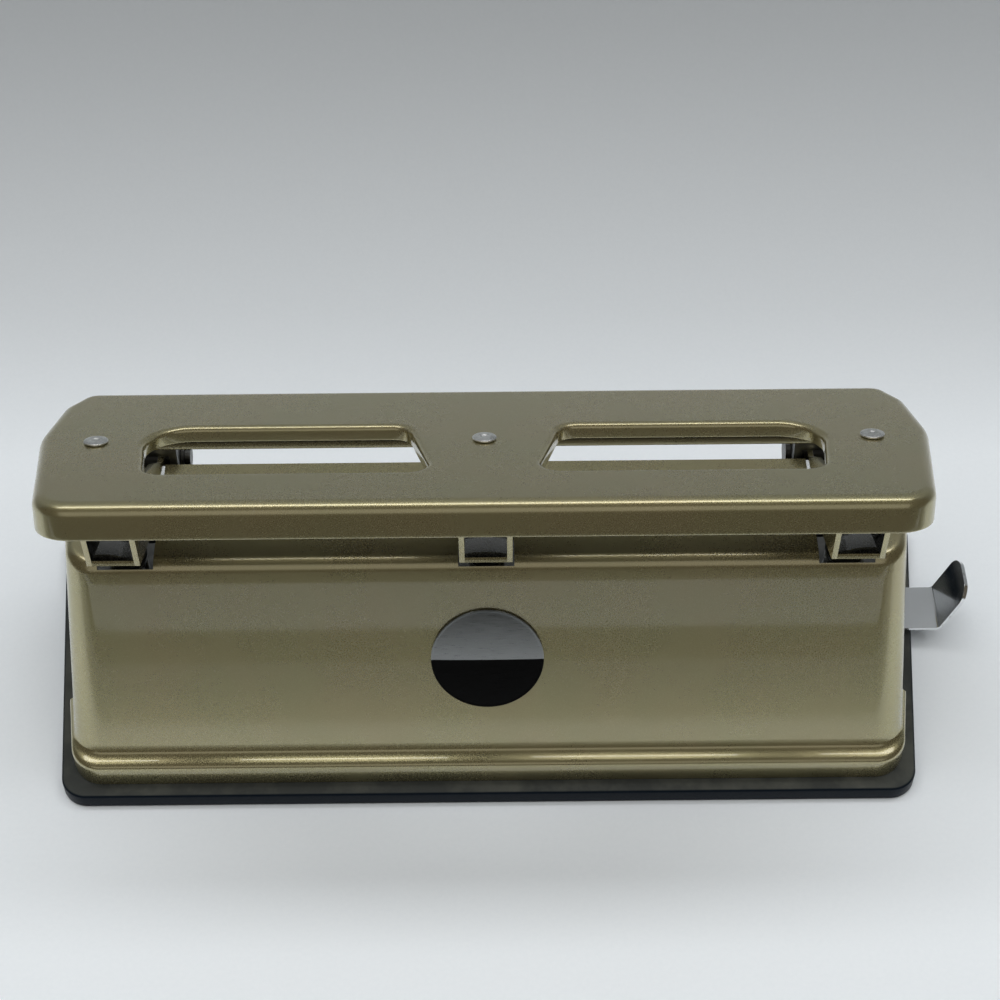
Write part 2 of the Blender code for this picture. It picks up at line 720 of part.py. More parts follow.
def skirt_share(z):
    """How far the wall has left the sloping front for the upright skirt: 0 on the slope, 1 on the skirt."""
    shares = ((0.0142, 1.0), (0.0152, 0.935), (0.0159, 0.776), (0.0164, 0.51), (0.0172, 0.25),
              (0.0186, 0.107), (0.0205, 0.022), (0.0222, 0.0))
    for (low, first), (high, second) in zip(shares, shares[1:]):
        if low <= z <= high:
            return first + (second - first) * (z - low) / (high - low)
    return 1.0 if z < shares[0][0] else 0.0


def cover_ring(z, inward):
    """Plan outline of the cover at a height: sides that lean in a little and spread to the rear, front leaning back."""
    share = (max(z, ON_BED) - ON_BED) / (COVER_HEIGHT - ON_BED)
    skirt = skirt_share(z)
    half = (COVER_FOOT_WIDTH + (COVER_TOP_WIDTH - COVER_FOOT_WIDTH) * share) / 2 + COVER_SKIRT_FLARE * skirt
    front = face_y(z) + (at_depth(COVER_SKIRT_DEPTH) - face_y(z)) * skirt
    rear = at_depth(COVER_REAR_DEPTH)
    behind = half + COVER_WIDENING * (rear - front)
    corners = ((-half, front), (half, front), (behind, rear), (-behind, rear))
    return [(x, y, z) for x, y in rounded_outline(corners, (COVER_CORNER, COVER_CORNER, 0.0006, 0.0006), inward)]


def cover_levels(wall):
    """(height, inset) from the skirt's foot up to the rounded shoulder, for the wall's outside or inside."""
    levels = [(PAN_RIM_HEIGHT + GAP, wall)]
    for z in (0.0142, 0.0152, 0.0159, 0.0164, 0.0172, 0.0186, 0.0205, 0.0222):
        levels.append((z - wall * 0.7, wall))
    top = COVER_HEIGHT - wall
    radius = COVER_SHOULDER - wall
    for step in range(6):
        angle = math.pi / 2 * step / 5
        levels.append((top - radius * (1 - math.sin(angle)), wall + radius * (1 - math.cos(angle))))
    return levels


def cover():
    """Drawn shell whose skirt stands on the pan's ledge, open below and behind, with a notch per lever arm."""
    shell = loft("cover", [cover_ring(z, inset) for z, inset in cover_levels(0.0)], CHAMPAGNE)
    hollow_rings = [cover_ring(z, inset) for z, inset in cover_levels(COVER_SHEET)]
    hollow_rings.insert(0, [(x, y, PAN_RIM_HEIGHT - 0.002) for x, y, z in hollow_rings[0]])
    behind = at_depth(COVER_REAR_DEPTH) - 0.003
    hollow_rings = [[(x, y + 0.006 * (y > behind), z) for x, y, z in ring] for ring in hollow_rings]
    cut(shell, loft("cut_cover_hollow", hollow_rings, None))
    paper_slot = block("cut_paper_slot", (-0.15, at_depth(HEAD_THROAT_DEPTH), PAN_RIM_HEIGHT - 0.001),
                       (0.15, at_depth(COVER_REAR_DEPTH) + 0.005, JAW + 0.0006))
    cut(shell, paper_slot)
    reach = ARM_WIDTH / 2 + NOTCH_PLAY
    for side, x in HEADS:
        cut(shell, block(f"cut_notch_{side}", (x - reach, at_depth(NOTCH_DEPTH), COVER_HEIGHT - 0.011),
                         (x + reach, at_depth(COVER_REAR_DEPTH) + 0.005, COVER_HEIGHT + 0.002)))
    for index, x in enumerate(LUG_XS):
        join(shell, block(f"add_lug_{index}", (x - LUG_WIDTH / 2, at_depth(COVER_SKIRT_DEPTH) + COVER_SHEET * 0.5, ON_BED),
                          (x + LUG_WIDTH / 2, at_depth(LUG_REAR_DEPTH), ON_BED + LUG_THICKNESS)))
    for index, x in enumerate(LUG_XS):
        cut(shell, rod(f"cut_lug_{index}", SCREW_RADIUS + GAP, ON_BED - 0.001, ON_BED + LUG_THICKNESS + 0.001,
                       place=(x, at_depth(LUG_DEPTH), 0), segments=12))


def badge_plate():
    """Thin disc lying on the sloping front."""
    profile = (
        (0, 0),
        (BADGE_RADIUS, 0),
        (BADGE_RADIUS, BADGE_THICKNESS * 0.6),
        (BADGE_RADIUS - 0.0005, BADGE_THICKNESS),
        (0, BADGE_THICKNESS),
    )
    badge = turned("badge_plate", profile, BADGE_FINISH, segments=48)
    badge.location = (0, face_y(BADGE_HEIGHT, -GAP), BADGE_HEIGHT)
    badge.rotation_euler = (math.pi / 2 - COVER_LEAN, 0, 0)


# Fasteners, stop and guide


def screw(name, x, y, tip):
    """Pan-headed screw put in from under the bed plate."""
    under = BED_BOTTOM - GAP
    profile = (
        (0, under - SCREW_HEAD),
        (SCREW_HEAD_RADIUS * 0.75, under - SCREW_HEAD),
        (SCREW_HEAD_RADIUS, under - SCREW_HEAD * 0.4),
        (SCREW_HEAD_RADIUS, under),
        (SCREW_RADIUS, under),
        (SCREW_RADIUS, tip),
        (0, tip),
    )
    turned(name, profile, STEEL, (x, y, 0), segments=16)


def stop_screw_y():
    return at_depth(HEAD_THROAT_DEPTH) - GAP - STOP_SHEET - STOP_FOOT_LENGTH / 2


def paper_stop():
    """Upright strip across the throat that the paper's edge meets, with two feet screwed to the bed."""
    rear = at_depth(HEAD_THROAT_DEPTH) + GAP + STOP_SHEET
    front = rear - STOP_SHEET
    top = JAW - GAP
    half = STOP_LENGTH / 2
    stop = block("paper_stop", (-half, front, ON_BED), (half, rear, top), STEEL)
    for side, x in stop_screw_places():
        foot = block(f"add_stop_foot_{side}",
                     (x - STOP_FOOT_WIDTH / 2, stop_screw_y() - STOP_FOOT_LENGTH / 2, ON_BED),
                     (x + STOP_FOOT_WIDTH / 2, front + STOP_SHEET / 2, ON_BED + STOP_SHEET))
        join(stop, foot)
    for side, x in stop_screw_places():
        cut(stop, rod(f"cut_stop_foot_{side}", SCREW_RADIUS + GAP, ON_BED - 0.001, ON_BED + STOP_SHEET + 0.001,
                      place=(x, stop_screw_y(), 0), segments=12))


def guide_outline():
    """(x, z) of the strip and its leaning tab, as one bent sheet."""
    turn = math.pi / 2 - GUIDE_TAB_LEAN
    outer = GUIDE_BEND + GUIDE_SHEET
    centre = (GUIDE_BEND_X - outer, GUIDE_BOTTOM + outer)
    steps = 5
    under = []
    over = []
    for step in range(steps + 1):
        angle = -math.pi / 2 + turn * step / steps
        under.append((centre[0] + outer * math.cos(angle), centre[1] + outer * math.sin(angle)))
        over.append((centre[0] + GUIDE_BEND * math.cos(angle), centre[1] + GUIDE_BEND * math.sin(angle)))
    rise = (math.sin(GUIDE_TAB_LEAN), math.cos(GUIDE_TAB_LEAN))
    under.append((under[-1][0] + rise[0] * GUIDE_TAB_HEIGHT, under[-1][1] + rise[1] * GUIDE_TAB_HEIGHT))
    over.append((over[-1][0] + rise[0] * GUIDE_TAB_HEIGHT, over[-1][1] + rise[1] * GUIDE_TAB_HEIGHT))
    return [(GUIDE_INNER_X, GUIDE_BOTTOM), *under, *reversed(over), (GUIDE_INNER_X, GUIDE_TOP)]


def side_guide():
    near = at_depth(GUIDE_NEAR_DEPTH)
    prism("side_guide", guide_outline(), "Y", near, near + GUIDE_WIDTH, CHROME)


def guide_clip(index, x):
    """Shallow bridge under the bed plate that the strip slides through."""
    near = at_depth(GUIDE_NEAR_DEPTH) - SIDE_PLAY
    far = near + GUIDE_WIDTH + 2 * SIDE_PLAY
    top = BED_BOTTOM - GAP
    floor = GUIDE_BOTTOM - GAP
    wall = 0.0012
    foot = 0.0050
    outline = (
        (near - wall - foot, top - wall),
        (near - wall, top - wall),
        (near - wall, floor - wall),
        (far + wall, floor - wall),
        (far + wall, top - wall),
        (far + wall + foot, top - wall),
        (far + wall + foot, top),
        (far, top),
        (far, floor),
        (near, floor),
        (near, top),
        (near - wall - foot, top),
    )
    half = GUIDE_CLIP_WIDTH / 2
    prism(f"guide_clip_{index}", outline, "X", x - half, x + half, STEEL)


def detent_spring():
    """Bowed leaf beside the strip that holds the guide where it is set."""
    near = at_depth(GUIDE_NEAR_DEPTH) + GUIDE_WIDTH + GAP
    middle = (GUIDE_CLIP_XS[0] + GUIDE_CLIP_XS[1]) / 2
    half = (GUIDE_CLIP_XS[1] - GUIDE_CLIP_XS[0]) / 2 - GUIDE_CLIP_WIDTH / 2 - 0.002
    sheet = 0.0005
    bow = 0.0030
    steps = 10
    inner = []
    for step in range(steps + 1):
        share = -1 + 2 * step / steps
        inner.append((middle + half * share, near + bow * share * share))
    outer = [(x, y + sheet) for x, y in reversed(inner)]
    prism("detent_spring", inner + outer, "Z", GUIDE_BOTTOM, GUIDE_TOP, STEEL)


def main():
    chip_pan()
    bed_plate()
    empty = lever_empty()
    hang(empty, handle_plate())
    for side, x in HEADS:
        die_bush(side, x)
        punch_head(side, x)
        punch_pin(side, x)
        spring_clip(side, x)
        return_spring(side, x)
        hinge_pin(side, x)
        hinge_clip(side, x)
        hinge_sleeve(side, x)
        hang(empty, lever_arm(side, x))
        hang(empty, [handle_rivet(side, x)])
    for place, x, y in head_rivet_places():
        head_rivet(place, x, y)
    cover()
    badge_plate()
    for index, x in enumerate(LUG_XS, 1):
        screw(f"cover_screw_{index}", x, at_depth(LUG_DEPTH), ON_BED + LUG_THICKNESS)
    for side, x in stop_screw_places():
        screw(f"stop_screw_{side}", x, stop_screw_y(), ON_BED + STOP_SHEET)
    paper_stop()
    side_guide()
    for index, x in enumerate(GUIDE_CLIP_XS, 1):
        guide_clip(index, x)
    detent_spring()


clear_scene()
main()
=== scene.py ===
# %% [markdown]
# # A three-hole lever punch
#
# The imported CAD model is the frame: every hinge, pin, spring and screw in it already has its true size and
# place. This notebook gives the punch its looks. Sheet metal catches the light on its bends, so the pressed
# handle, the drawn cover, the chip pan, the guide and the arms are drawn again here with rounded edges, and
# every finish is worked out from noise and masks.

import math

import bmesh
import bpy
import numpy as np
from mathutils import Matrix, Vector, geometry
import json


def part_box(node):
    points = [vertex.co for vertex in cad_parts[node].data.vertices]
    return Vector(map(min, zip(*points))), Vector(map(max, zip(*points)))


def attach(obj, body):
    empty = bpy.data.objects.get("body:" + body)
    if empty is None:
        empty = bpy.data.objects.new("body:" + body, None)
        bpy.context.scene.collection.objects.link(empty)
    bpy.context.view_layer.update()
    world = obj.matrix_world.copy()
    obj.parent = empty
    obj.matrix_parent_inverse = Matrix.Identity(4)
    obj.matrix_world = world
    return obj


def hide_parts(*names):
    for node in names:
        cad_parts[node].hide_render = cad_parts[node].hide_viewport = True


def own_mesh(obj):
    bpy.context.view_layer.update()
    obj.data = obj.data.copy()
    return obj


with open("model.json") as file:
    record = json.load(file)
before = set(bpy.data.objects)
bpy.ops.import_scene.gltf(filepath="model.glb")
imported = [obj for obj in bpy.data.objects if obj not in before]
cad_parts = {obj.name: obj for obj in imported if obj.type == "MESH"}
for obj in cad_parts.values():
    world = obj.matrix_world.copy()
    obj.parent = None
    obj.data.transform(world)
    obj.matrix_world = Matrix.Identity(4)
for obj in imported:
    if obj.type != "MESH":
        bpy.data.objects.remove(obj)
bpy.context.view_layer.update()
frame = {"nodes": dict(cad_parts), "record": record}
nodes = frame["nodes"]

# %% [markdown]
# ## The lever's own directions
# The handle is raised at rest, so it is far easier to describe lying flat. "Forward" runs from the hinge to
# the operator and "up" is square to the plate. One function turns those into the frame's directions.

# %% Measures shared by several pieces
BASE_FRONT = float(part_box("chip_pan")[0][1])
HINGE = np.array([0.0, 0.028, 0.072])
LIFT = math.radians(26.0)
HANDLE_TOP = 0.0331
ARM_PLACES = {"left": -0.108, "middle": 0.0, "right": 0.108}


def from_lever(x, forward, up):
    """World points: forward and up turned about the hinge by the lift."""
    x, forward, up = np.broadcast_arrays(x, forward, up)
    y = HINGE[1] - forward * math.cos(LIFT) + up * math.sin(LIFT)
    z = HINGE[2] + forward * math.sin(LIFT) + up * math.cos(LIFT)
    return np.stack([x, y, z], axis=-1)


def at_depth(depth):
    """Y of a point this far behind the pan's front edge."""
    return BASE_FRONT + depth


print("front edge of the plate:", from_lever(0.0, 0.1122, HANDLE_TOP).round(4))

# %% [markdown]
# ## Surfaces from grids
# A pressed or moulded piece is one profile carried round one outline. The outline is worked out once as an
# array, moved in or out by an inset, and stacked into a grid of points. Whole arrays keep it quick, and the
# faces are only index sums.

# %% Outline and grid helpers
SMALLEST_RADIUS = 0.0003


def rounded_outline(corners, radii, inset=0.0, steps=10):
    """Convex outline moved in by inset.

    At each corner: centre + radius * (cos, sin), over the corner's turn.
    """
    points = np.asarray(corners, float)
    into = points - np.roll(points, 1, axis=0)
    into /= np.linalg.norm(into, axis=1, keepdims=True)
    out = np.roll(into, -1, axis=0)
    first = np.stack([-into[:, 1], into[:, 0]], axis=1)
    second = np.stack([-out[:, 1], out[:, 0]], axis=1)
    dot = (first * second).sum(axis=1, keepdims=True)
    moved = points + (first + second) * inset / (1 + dot)
    radius = np.maximum(np.asarray(radii, float)[:, None] - inset, SMALLEST_RADIUS)
    cross = into[:, :1] * out[:, 1:] - into[:, 1:] * out[:, :1]
    turn = np.arctan2(cross, (into * out).sum(axis=1, keepdims=True))
    centre = moved - into * radius * np.tan(turn / 2) + first * radius
    angle = np.arctan2(-first[:, 1:], -first[:, :1]) + turn * np.linspace(0, 1, steps + 1)[None, :]
    ring = centre[:, None, :] + radius[:, :, None] * np.stack([np.cos(angle), np.sin(angle)], axis=-1)
    return ring.reshape(-1, 2)


def arc(centre, radius, start, end, steps=8):
    """Profile points on a quarter or other arc, angles in degrees, as (across, up) pairs."""
    angle = np.radians(np.linspace(start, end, steps + 1))
    return [(centre[0] + radius * math.cos(a), centre[1] + radius * math.sin(a)) for a in angle]


def grid_faces(rows, columns, start=0, close_rows=False, close_columns=False):
    """Quads between neighbouring points of a rows x columns grid whose first point has index start."""
    last_row = rows if close_rows else rows - 1
    last_column = columns if close_columns else columns - 1
    row, column = np.meshgrid(np.arange(last_row), np.arange(last_column), indexing="ij")
    below, beside = (row + 1) % rows, (column + 1) % columns
    quads = np.stack([row * columns + column, row * columns + beside, below * columns + beside,
                      below * columns + column], axis=-1)
    return quads.reshape(-1, 4) + start


def piece(name, points, faces, material, sharp=40.0, edge=None, inside=None):
    """A new mesh object from arrays, doubles merged and normals outward.

    edge and inside are optional values per point: where paint wears off, and where the enamel is painted near
    black as shade.
    """
    mesh = bpy.data.meshes.new(name)
    mesh.from_pydata(np.asarray(points, float).reshape(-1, 3), [], [tuple(map(int, face)) for face in faces])
    for label, values in (("edge", edge), ("inside", inside)):
        if values is not None:
            attribute = mesh.attributes.new(label, "FLOAT", "POINT")
            attribute.data.foreach_set("value", np.asarray(values, np.float32).ravel())
    mesh.validate()
    bm = bmesh.new()
    bm.from_mesh(mesh)
    bmesh.ops.remove_doubles(bm, verts=bm.verts, dist=1e-6)
    bmesh.ops.recalc_face_normals(bm, faces=bm.faces)
    bm.to_mesh(mesh)
    bm.free()
    mesh.shade_smooth()
    mesh.set_sharp_from_angle(angle=math.radians(sharp))
    mesh.materials.append(material)
    obj = bpy.data.objects.new(name, mesh)
    bpy.context.scene.collection.objects.link(obj)
    print(f"{name}: {len(mesh.polygons)} faces")
    return obj


def turned(profile, segments=64):
    """Points of a (radius, height) profile turned about Z: radius * (cos, sin), height."""
    profile = np.asarray(profile, float)
    angle = np.linspace(0, math.tau, segments, endpoint=False)
    x = profile[:, :1] * np.cos(angle)
    y = profile[:, :1] * np.sin(angle)
    z = np.broadcast_to(profile[:, 1:], x.shape)
    return np.stack([x, y, z], axis=-1)


# %% [markdown]
# ## Shader groups
# Four effects turn up in nearly every finish, so each is built once: fine grain, metal flake, smudges left
# by hands, and wear on the edges. They only put out masks and heights, and each material decides what to do
# with them.

# %% Group helpers
def new_group(name, inputs, outputs):
    """A shader group whose inputs and outputs are all plain numbers, with its two end nodes."""
    group = bpy.data.node_groups.new(name, "ShaderNodeTree")
    for label, value in inputs:
        socket = group.interface.new_socket(name=label, in_out="INPUT", socket_type="NodeSocketFloat")
        socket.default_value = value
    for label in outputs:
        group.interface.new_socket(name=label, in_out="OUTPUT", socket_type="NodeSocketFloat")
    return group, group.nodes.new("NodeGroupInput"), group.nodes.new("NodeGroupOutput")


def add(tree, kind, **settings):
    """A new node in the tree, with its properties set."""
    node = tree.nodes.new(kind)
    for key, value in settings.items():
        setattr(node, key, value)
    return node


def link(tree, source, target):
    """Feeds one socket from another."""
    tree.links.new(source, target)


def math_node(tree, operation, first, second=None, clamp=False):
    """One Math node; each operand is a number or a socket."""
    node = add(tree, "ShaderNodeMath", operation=operation, use_clamp=clamp)
    for socket, value in zip(node.inputs, (first, second)):
        if value is None:
            continue
        if isinstance(value, (int, float)):
            socket.default_value = value
        else:
            link(tree, value, socket)
    return node.outputs[0]


def noise(tree, vector, scale, detail=2.0, roughness=0.5):
    """Noise from 0 to 1; the scale is a number or a socket."""
    node = add(tree, "ShaderNodeTexNoise")
    node.inputs["Detail"].default_value = detail
    node.inputs["Roughness"].default_value = roughness
    link(tree, vector, node.inputs["Vector"])
    if isinstance(scale, (int, float)):
        node.inputs["Scale"].default_value = scale
    else:
        link(tree, scale, node.inputs["Scale"])
    return node.outputs["Fac"]


def remap(tree, value, low, high, to_low=0.0, to_high=1.0):
    """to_low + (value - low) / (high - low) * (to_high - to_low), held between the two ends."""
    node = add(tree, "ShaderNodeMapRange")
    link(tree, value, node.inputs["Value"])
    for label, number in (("From Min", low), ("From Max", high), ("To Min", to_low), ("To Max", to_high)):
        if isinstance(number, (int, float)):
            node.inputs[label].default_value = number
        else:
            link(tree, number, node.inputs[label])
    return node.outputs["Result"]


# %% Grain, flake, smudge and wear groups
def grain_group():
    """Grain = two octaves of fine noise, 0 to 1."""
    group, given, result = new_group("fine_grain", [("Scale", 900.0)], ["Grain"])
    place = add(group, "ShaderNodeTexCoord").outputs["Object"]
    fine = noise(group, place, given.outputs["Scale"], 3.0, 0.65)
    link(group, remap(group, fine, 0.3, 0.7), result.inputs["Grain"])
    return group


def flake_group():
    """Each Voronoi cell is one flake: a random value per cell, and a few bright ones."""
    group, given, result = new_group("metal_flake", [("Scale", 3500.0)], ["Tone", "Sparkle"])
    place = add(group, "ShaderNodeTexCoord").outputs["Object"]
    cells = add(group, "ShaderNodeTexVoronoi")
    link(group, place, cells.inputs["Vector"])
    link(group, given.outputs["Scale"], cells.inputs["Scale"])
    split = add(group, "ShaderNodeSeparateColor")
    link(group, cells.outputs["Color"], split.inputs["Color"])
    link(group, split.outputs["Red"], result.inputs["Tone"])
    link(group, remap(group, split.outputs["Green"], 0.9, 1.0), result.inputs["Sparkle"])
    return group


def smudge_group():
    """Cloudy patches the size of a fingertip, broken up by finer noise."""
    group, given, result = new_group("hand_smudges", [("Scale", 35.0)], ["Smudge"])
    place = add(group, "ShaderNodeTexCoord").outputs["Object"]
    large = noise(group, place, given.outputs["Scale"], 4.0, 0.55)
    fine = noise(group, place, 420.0, 2.0)
    patches = remap(group, large, 0.42, 0.68)
    mixed = math_node(group, "ADD", patches, remap(group, fine, 0.3, 0.8, -0.15, 0.15))
    link(group, math_node(group, "MAXIMUM", mixed, 0.0, clamp=True), result.inputs["Smudge"])
    return group


def wear_group():
    """Bare or thinned spots where a point's edge value is high and the noise agrees."""
    group, given, result = new_group("edge_wear", [("Amount", 0.5), ("Scale", 260.0)], ["Wear"])
    place = add(group, "ShaderNodeTexCoord").outputs["Object"]
    near = add(group, "ShaderNodeAttribute", attribute_name="edge").outputs["Fac"]
    broken = remap(group, noise(group, place, given.outputs["Scale"], 5.0, 0.7), 0.35, 0.75)
    raised = math_node(group, "MULTIPLY", near, given.outputs["Amount"])
    wear = remap(group, math_node(group, "ADD", raised, math_node(group, "MULTIPLY", broken, 0.6)), 0.85, 1.0)
    link(group, math_node(group, "MULTIPLY", wear, near, clamp=True), result.inputs["Wear"])
    return group


GRAIN, FLAKE, SMUDGE, WEAR = grain_group(), flake_group(), smudge_group(), wear_group()
print("shader groups:", [group.name for group in (GRAIN, FLAKE, SMUDGE, WEAR)])

# %% [markdown]
# ## Material helpers
# A material starts as the plain Principled shader. Numbers that are the same all over are set on its own
# sockets, and only what changes over the surface is linked.

# %% Material helpers
def shader_for(name, metallic, roughness, colour, **constants):
    """A new material with its shader's constants set; underscores in a label stand for spaces."""
    material = bpy.data.materials.new(name)
    material.use_nodes = True
    tree = material.node_tree
    shader = tree.nodes["Principled BSDF"]
    shader.inputs["Base Color"].default_value = (*colour, 1.0)
    shader.inputs["Metallic"].default_value = metallic
    shader.inputs["Roughness"].default_value = roughness
    for label, value in constants.items():
        shader.inputs[label.replace("_", " ")].default_value = value
    return material, tree, shader


def use_group(tree, group, **values):
    """One use of a shader group, with its own numbers."""
    node = add(tree, "ShaderNodeGroup", node_tree=group)
    for label, value in values.items():
        node.inputs[label].default_value = value
    return node


def mix_colour(tree, factor, first, second):
    """first + factor * (second - first), for colours given as tuples or sockets."""
    node = add(tree, "ShaderNodeMix", data_type="RGBA")
    if isinstance(factor, (int, float)):
        node.inputs["Factor"].default_value = factor
    else:
        link(tree, factor, node.inputs["Factor"])
    for socket, value in ((node.inputs[6], first), (node.inputs[7], second)):
        if isinstance(value, tuple):
            socket.default_value = (*value, 1.0)
        else:
            link(tree, value, socket)
    return node.outputs[2]


def bump_from(tree, shader, height, distance, strength=1.0):
    """Tilts the shading normal by the slope of height * distance."""
    node = add(tree, "ShaderNodeBump")
    node.inputs["Distance"].default_value = distance
    node.inputs["Strength"].default_value = strength
    link(tree, height, node.inputs["Height"])
    link(tree, node.outputs["Normal"], shader.inputs["Normal"])


def object_place(tree):
    """Object coordinates: metres from the frame's origin, the same for every piece."""
    return add(tree, "ShaderNodeTexCoord").outputs["Object"]


# %% [markdown]
# ## Champagne enamel
# The cover, handle and arms carry one baked enamel: a warm olive-gold with fine aluminium flake under a thin
# clear film, with painted shade, near black, inside the folds. Flake cells vary the tone, a slow noise drifts
# it between greener and browner, and a shallow bump gives the slight orange peel of sprayed paint. Flake
# could be a picture laid on the metal, but noise in space keeps one scale on every piece, whatever its shape.

# %% Champagne enamel
def champagne_enamel():
    """Drifting tone, darkened by flakes, lit by sparkle, paler where rubbed, painted shade near black inside
    folds.
    """
    material, tree, shader = shader_for("champagne_enamel", 0.9, 0.27, (0.43, 0.385, 0.21),
                                        Coat_Roughness=0.04, Coat_Weight=0.8, Coat_IOR=1.7)
    flake = use_group(tree, FLAKE, Scale=8000.0)
    smudge = use_group(tree, SMUDGE, Scale=28.0)
    grain = use_group(tree, GRAIN, Scale=2200.0)
    wear = use_group(tree, WEAR, Amount=0.45, Scale=420.0)
    drift = noise(tree, object_place(tree), 45.0, 3.0, 0.5)
    tone = mix_colour(tree, remap(tree, drift, 0.35, 0.65), (0.425, 0.388, 0.208), (0.445, 0.388, 0.212))
    inside = add(tree, "ShaderNodeAttribute", attribute_name="inside").outputs["Fac"]
    # The last layer is painted shade: where the inside attribute is set, the colour goes near black.
    layers = [(flake.outputs["Tone"], 0.22, (0.26, 0.23, 0.12)),
              (flake.outputs["Sparkle"], 0.25, (0.70, 0.66, 0.48)),
              (wear.outputs["Wear"], 0.25, (0.50, 0.48, 0.40)),
              (inside, 0.93, (0.012, 0.011, 0.009))]
    for mask, amount, colour in layers:
        tone = mix_colour(tree, math_node(tree, "MULTIPLY", mask, amount), tone, colour)
    link(tree, tone, shader.inputs["Base Color"])
    rough = remap(tree, smudge.outputs["Smudge"], 0.0, 1.0, 0.25, 0.29)
    link(tree, math_node(tree, "ADD", rough, math_node(tree, "MULTIPLY", grain.outputs["Grain"], 0.04)),
         shader.inputs["Roughness"])
    peel = noise(tree, object_place(tree), 520.0, 2.0, 0.5)
    height = math_node(tree, "ADD", math_node(tree, "MULTIPLY", peel, 0.6),
                       math_node(tree, "MULTIPLY", grain.outputs["Grain"], 0.15))
    bump_from(tree, shader, height, 0.00002, 0.4)
    return material


ENAMEL = champagne_enamel()

# %% [markdown]
# ## Steels, plastic and plating
# The punch heads are rolled steel left dull, pins and screws are plain plated steel, the guide is bright
# nickel-chrome, and the tray is dark moulded plastic with a little dust and painted top light on what faces
# up.

# %% Steels
def steel(name, colour, roughness, metallic, line_scale, coarse):
    """Rolled sheet: long thin streaks along X from stretched noise, mottled by a coarse one."""
    material, tree, shader = shader_for(name, metallic, roughness, colour)
    place = object_place(tree)
    stretch = add(tree, "ShaderNodeMapping")
    stretch.inputs["Scale"].default_value = (0.08, 1.0, 1.0)
    link(tree, place, stretch.inputs["Vector"])
    streak = noise(tree, stretch.outputs["Vector"], line_scale, 3.0, 0.6)
    cloud = noise(tree, place, coarse, 4.0, 0.6)
    darker = tuple(value * 0.72 for value in colour)
    lighter = tuple(min(value * 1.15, 1.0) for value in colour)
    tone = mix_colour(tree, remap(tree, cloud, 0.35, 0.68), darker, lighter)
    link(tree, tone, shader.inputs["Base Color"])
    link(tree, remap(tree, streak, 0.3, 0.7, roughness - 0.08, roughness + 0.12), shader.inputs["Roughness"])
    bump_from(tree, shader, streak, 0.00002, 0.5)
    return material


PLAIN_STEEL = steel("oiled_steel", (0.12, 0.12, 0.115), 0.36, 1.0, 2600.0, 160.0)
RIVET_STEEL = steel("plated_steel", (0.88, 0.88, 0.85), 0.30, 1.0, 2600.0, 260.0)
HEAD_STEEL = steel("rolled_head_steel", (0.22, 0.225, 0.22), 0.42, 0.9, 1800.0, 90.0)


def chrome():
    """Smooth plating: smudged roughness, greyer where worn, and a faint long ripple."""
    material, tree, shader = shader_for("bright_plating", 1.0, 0.14, (0.88, 0.89, 0.90))
    smudge = use_group(tree, SMUDGE, Scale=60.0)
    wear = use_group(tree, WEAR, Amount=0.5, Scale=500.0)
    link(tree, remap(tree, smudge.outputs["Smudge"], 0.0, 1.0, 0.13, 0.24), shader.inputs["Roughness"])
    link(tree, mix_colour(tree, wear.outputs["Wear"], (0.88, 0.89, 0.90), (0.45, 0.43, 0.40)),
         shader.inputs["Base Color"])
    ripple = noise(tree, object_place(tree), 140.0, 2.0)
    bump_from(tree, shader, ripple, 0.00006, 0.4)
    return material


CHROME = chrome()


def tray_plastic():
    """Fine spark-eroded texture; where the surface faces up it is painted grey, partly dust and partly
    painted top light.
    """
    material, tree, shader = shader_for("tray_plastic", 0.0, 0.42, (0.003, 0.007, 0.014),
                                        Specular_IOR_Level=0.10)
    grain = use_group(tree, GRAIN, Scale=1300.0)
    smudge = use_group(tree, SMUDGE, Scale=70.0)
    facing = add(tree, "ShaderNodeSeparateXYZ")
    link(tree, add(tree, "ShaderNodeNewGeometry").outputs["Normal"], facing.inputs["Vector"])
    # Painted top light and dust: faces turned up are made lighter grey.
    up = remap(tree, facing.outputs["Z"], 0.75, 1.0)
    dust_and_top_light_mask = math_node(tree, "MULTIPLY", up, remap(tree, smudge.outputs["Smudge"], 0.0, 1.0, 0.55, 1.0))
    dust_and_top_light = math_node(tree, "MULTIPLY", dust_and_top_light_mask, 0.85)
    link(tree, mix_colour(tree, dust_and_top_light, (0.002, 0.006, 0.012), (0.095, 0.098, 0.084)),
         shader.inputs["Base Color"])
    link(tree, remap(tree, grain.outputs["Grain"], 0.0, 1.0, 0.30, 0.44), shader.inputs["Roughness"])
    bump_from(tree, shader, grain.outputs["Grain"], 0.00003, 0.5)
    return material


TRAY_PLASTIC = tray_plastic()
print("materials:", [material.name for material in (ENAMEL, PLAIN_STEEL, HEAD_STEEL, CHROME, TRAY_PLASTIC)])

# %% [markdown]
# ## The handle
# One pressing: a flat plate bent down all round into a flange, with two long finger slots whose rims are
# turned down too. The flange's section is carried round the plate's outline, each rim's section is carried
# round its slot, and two flat webs with holes join them, above and below.

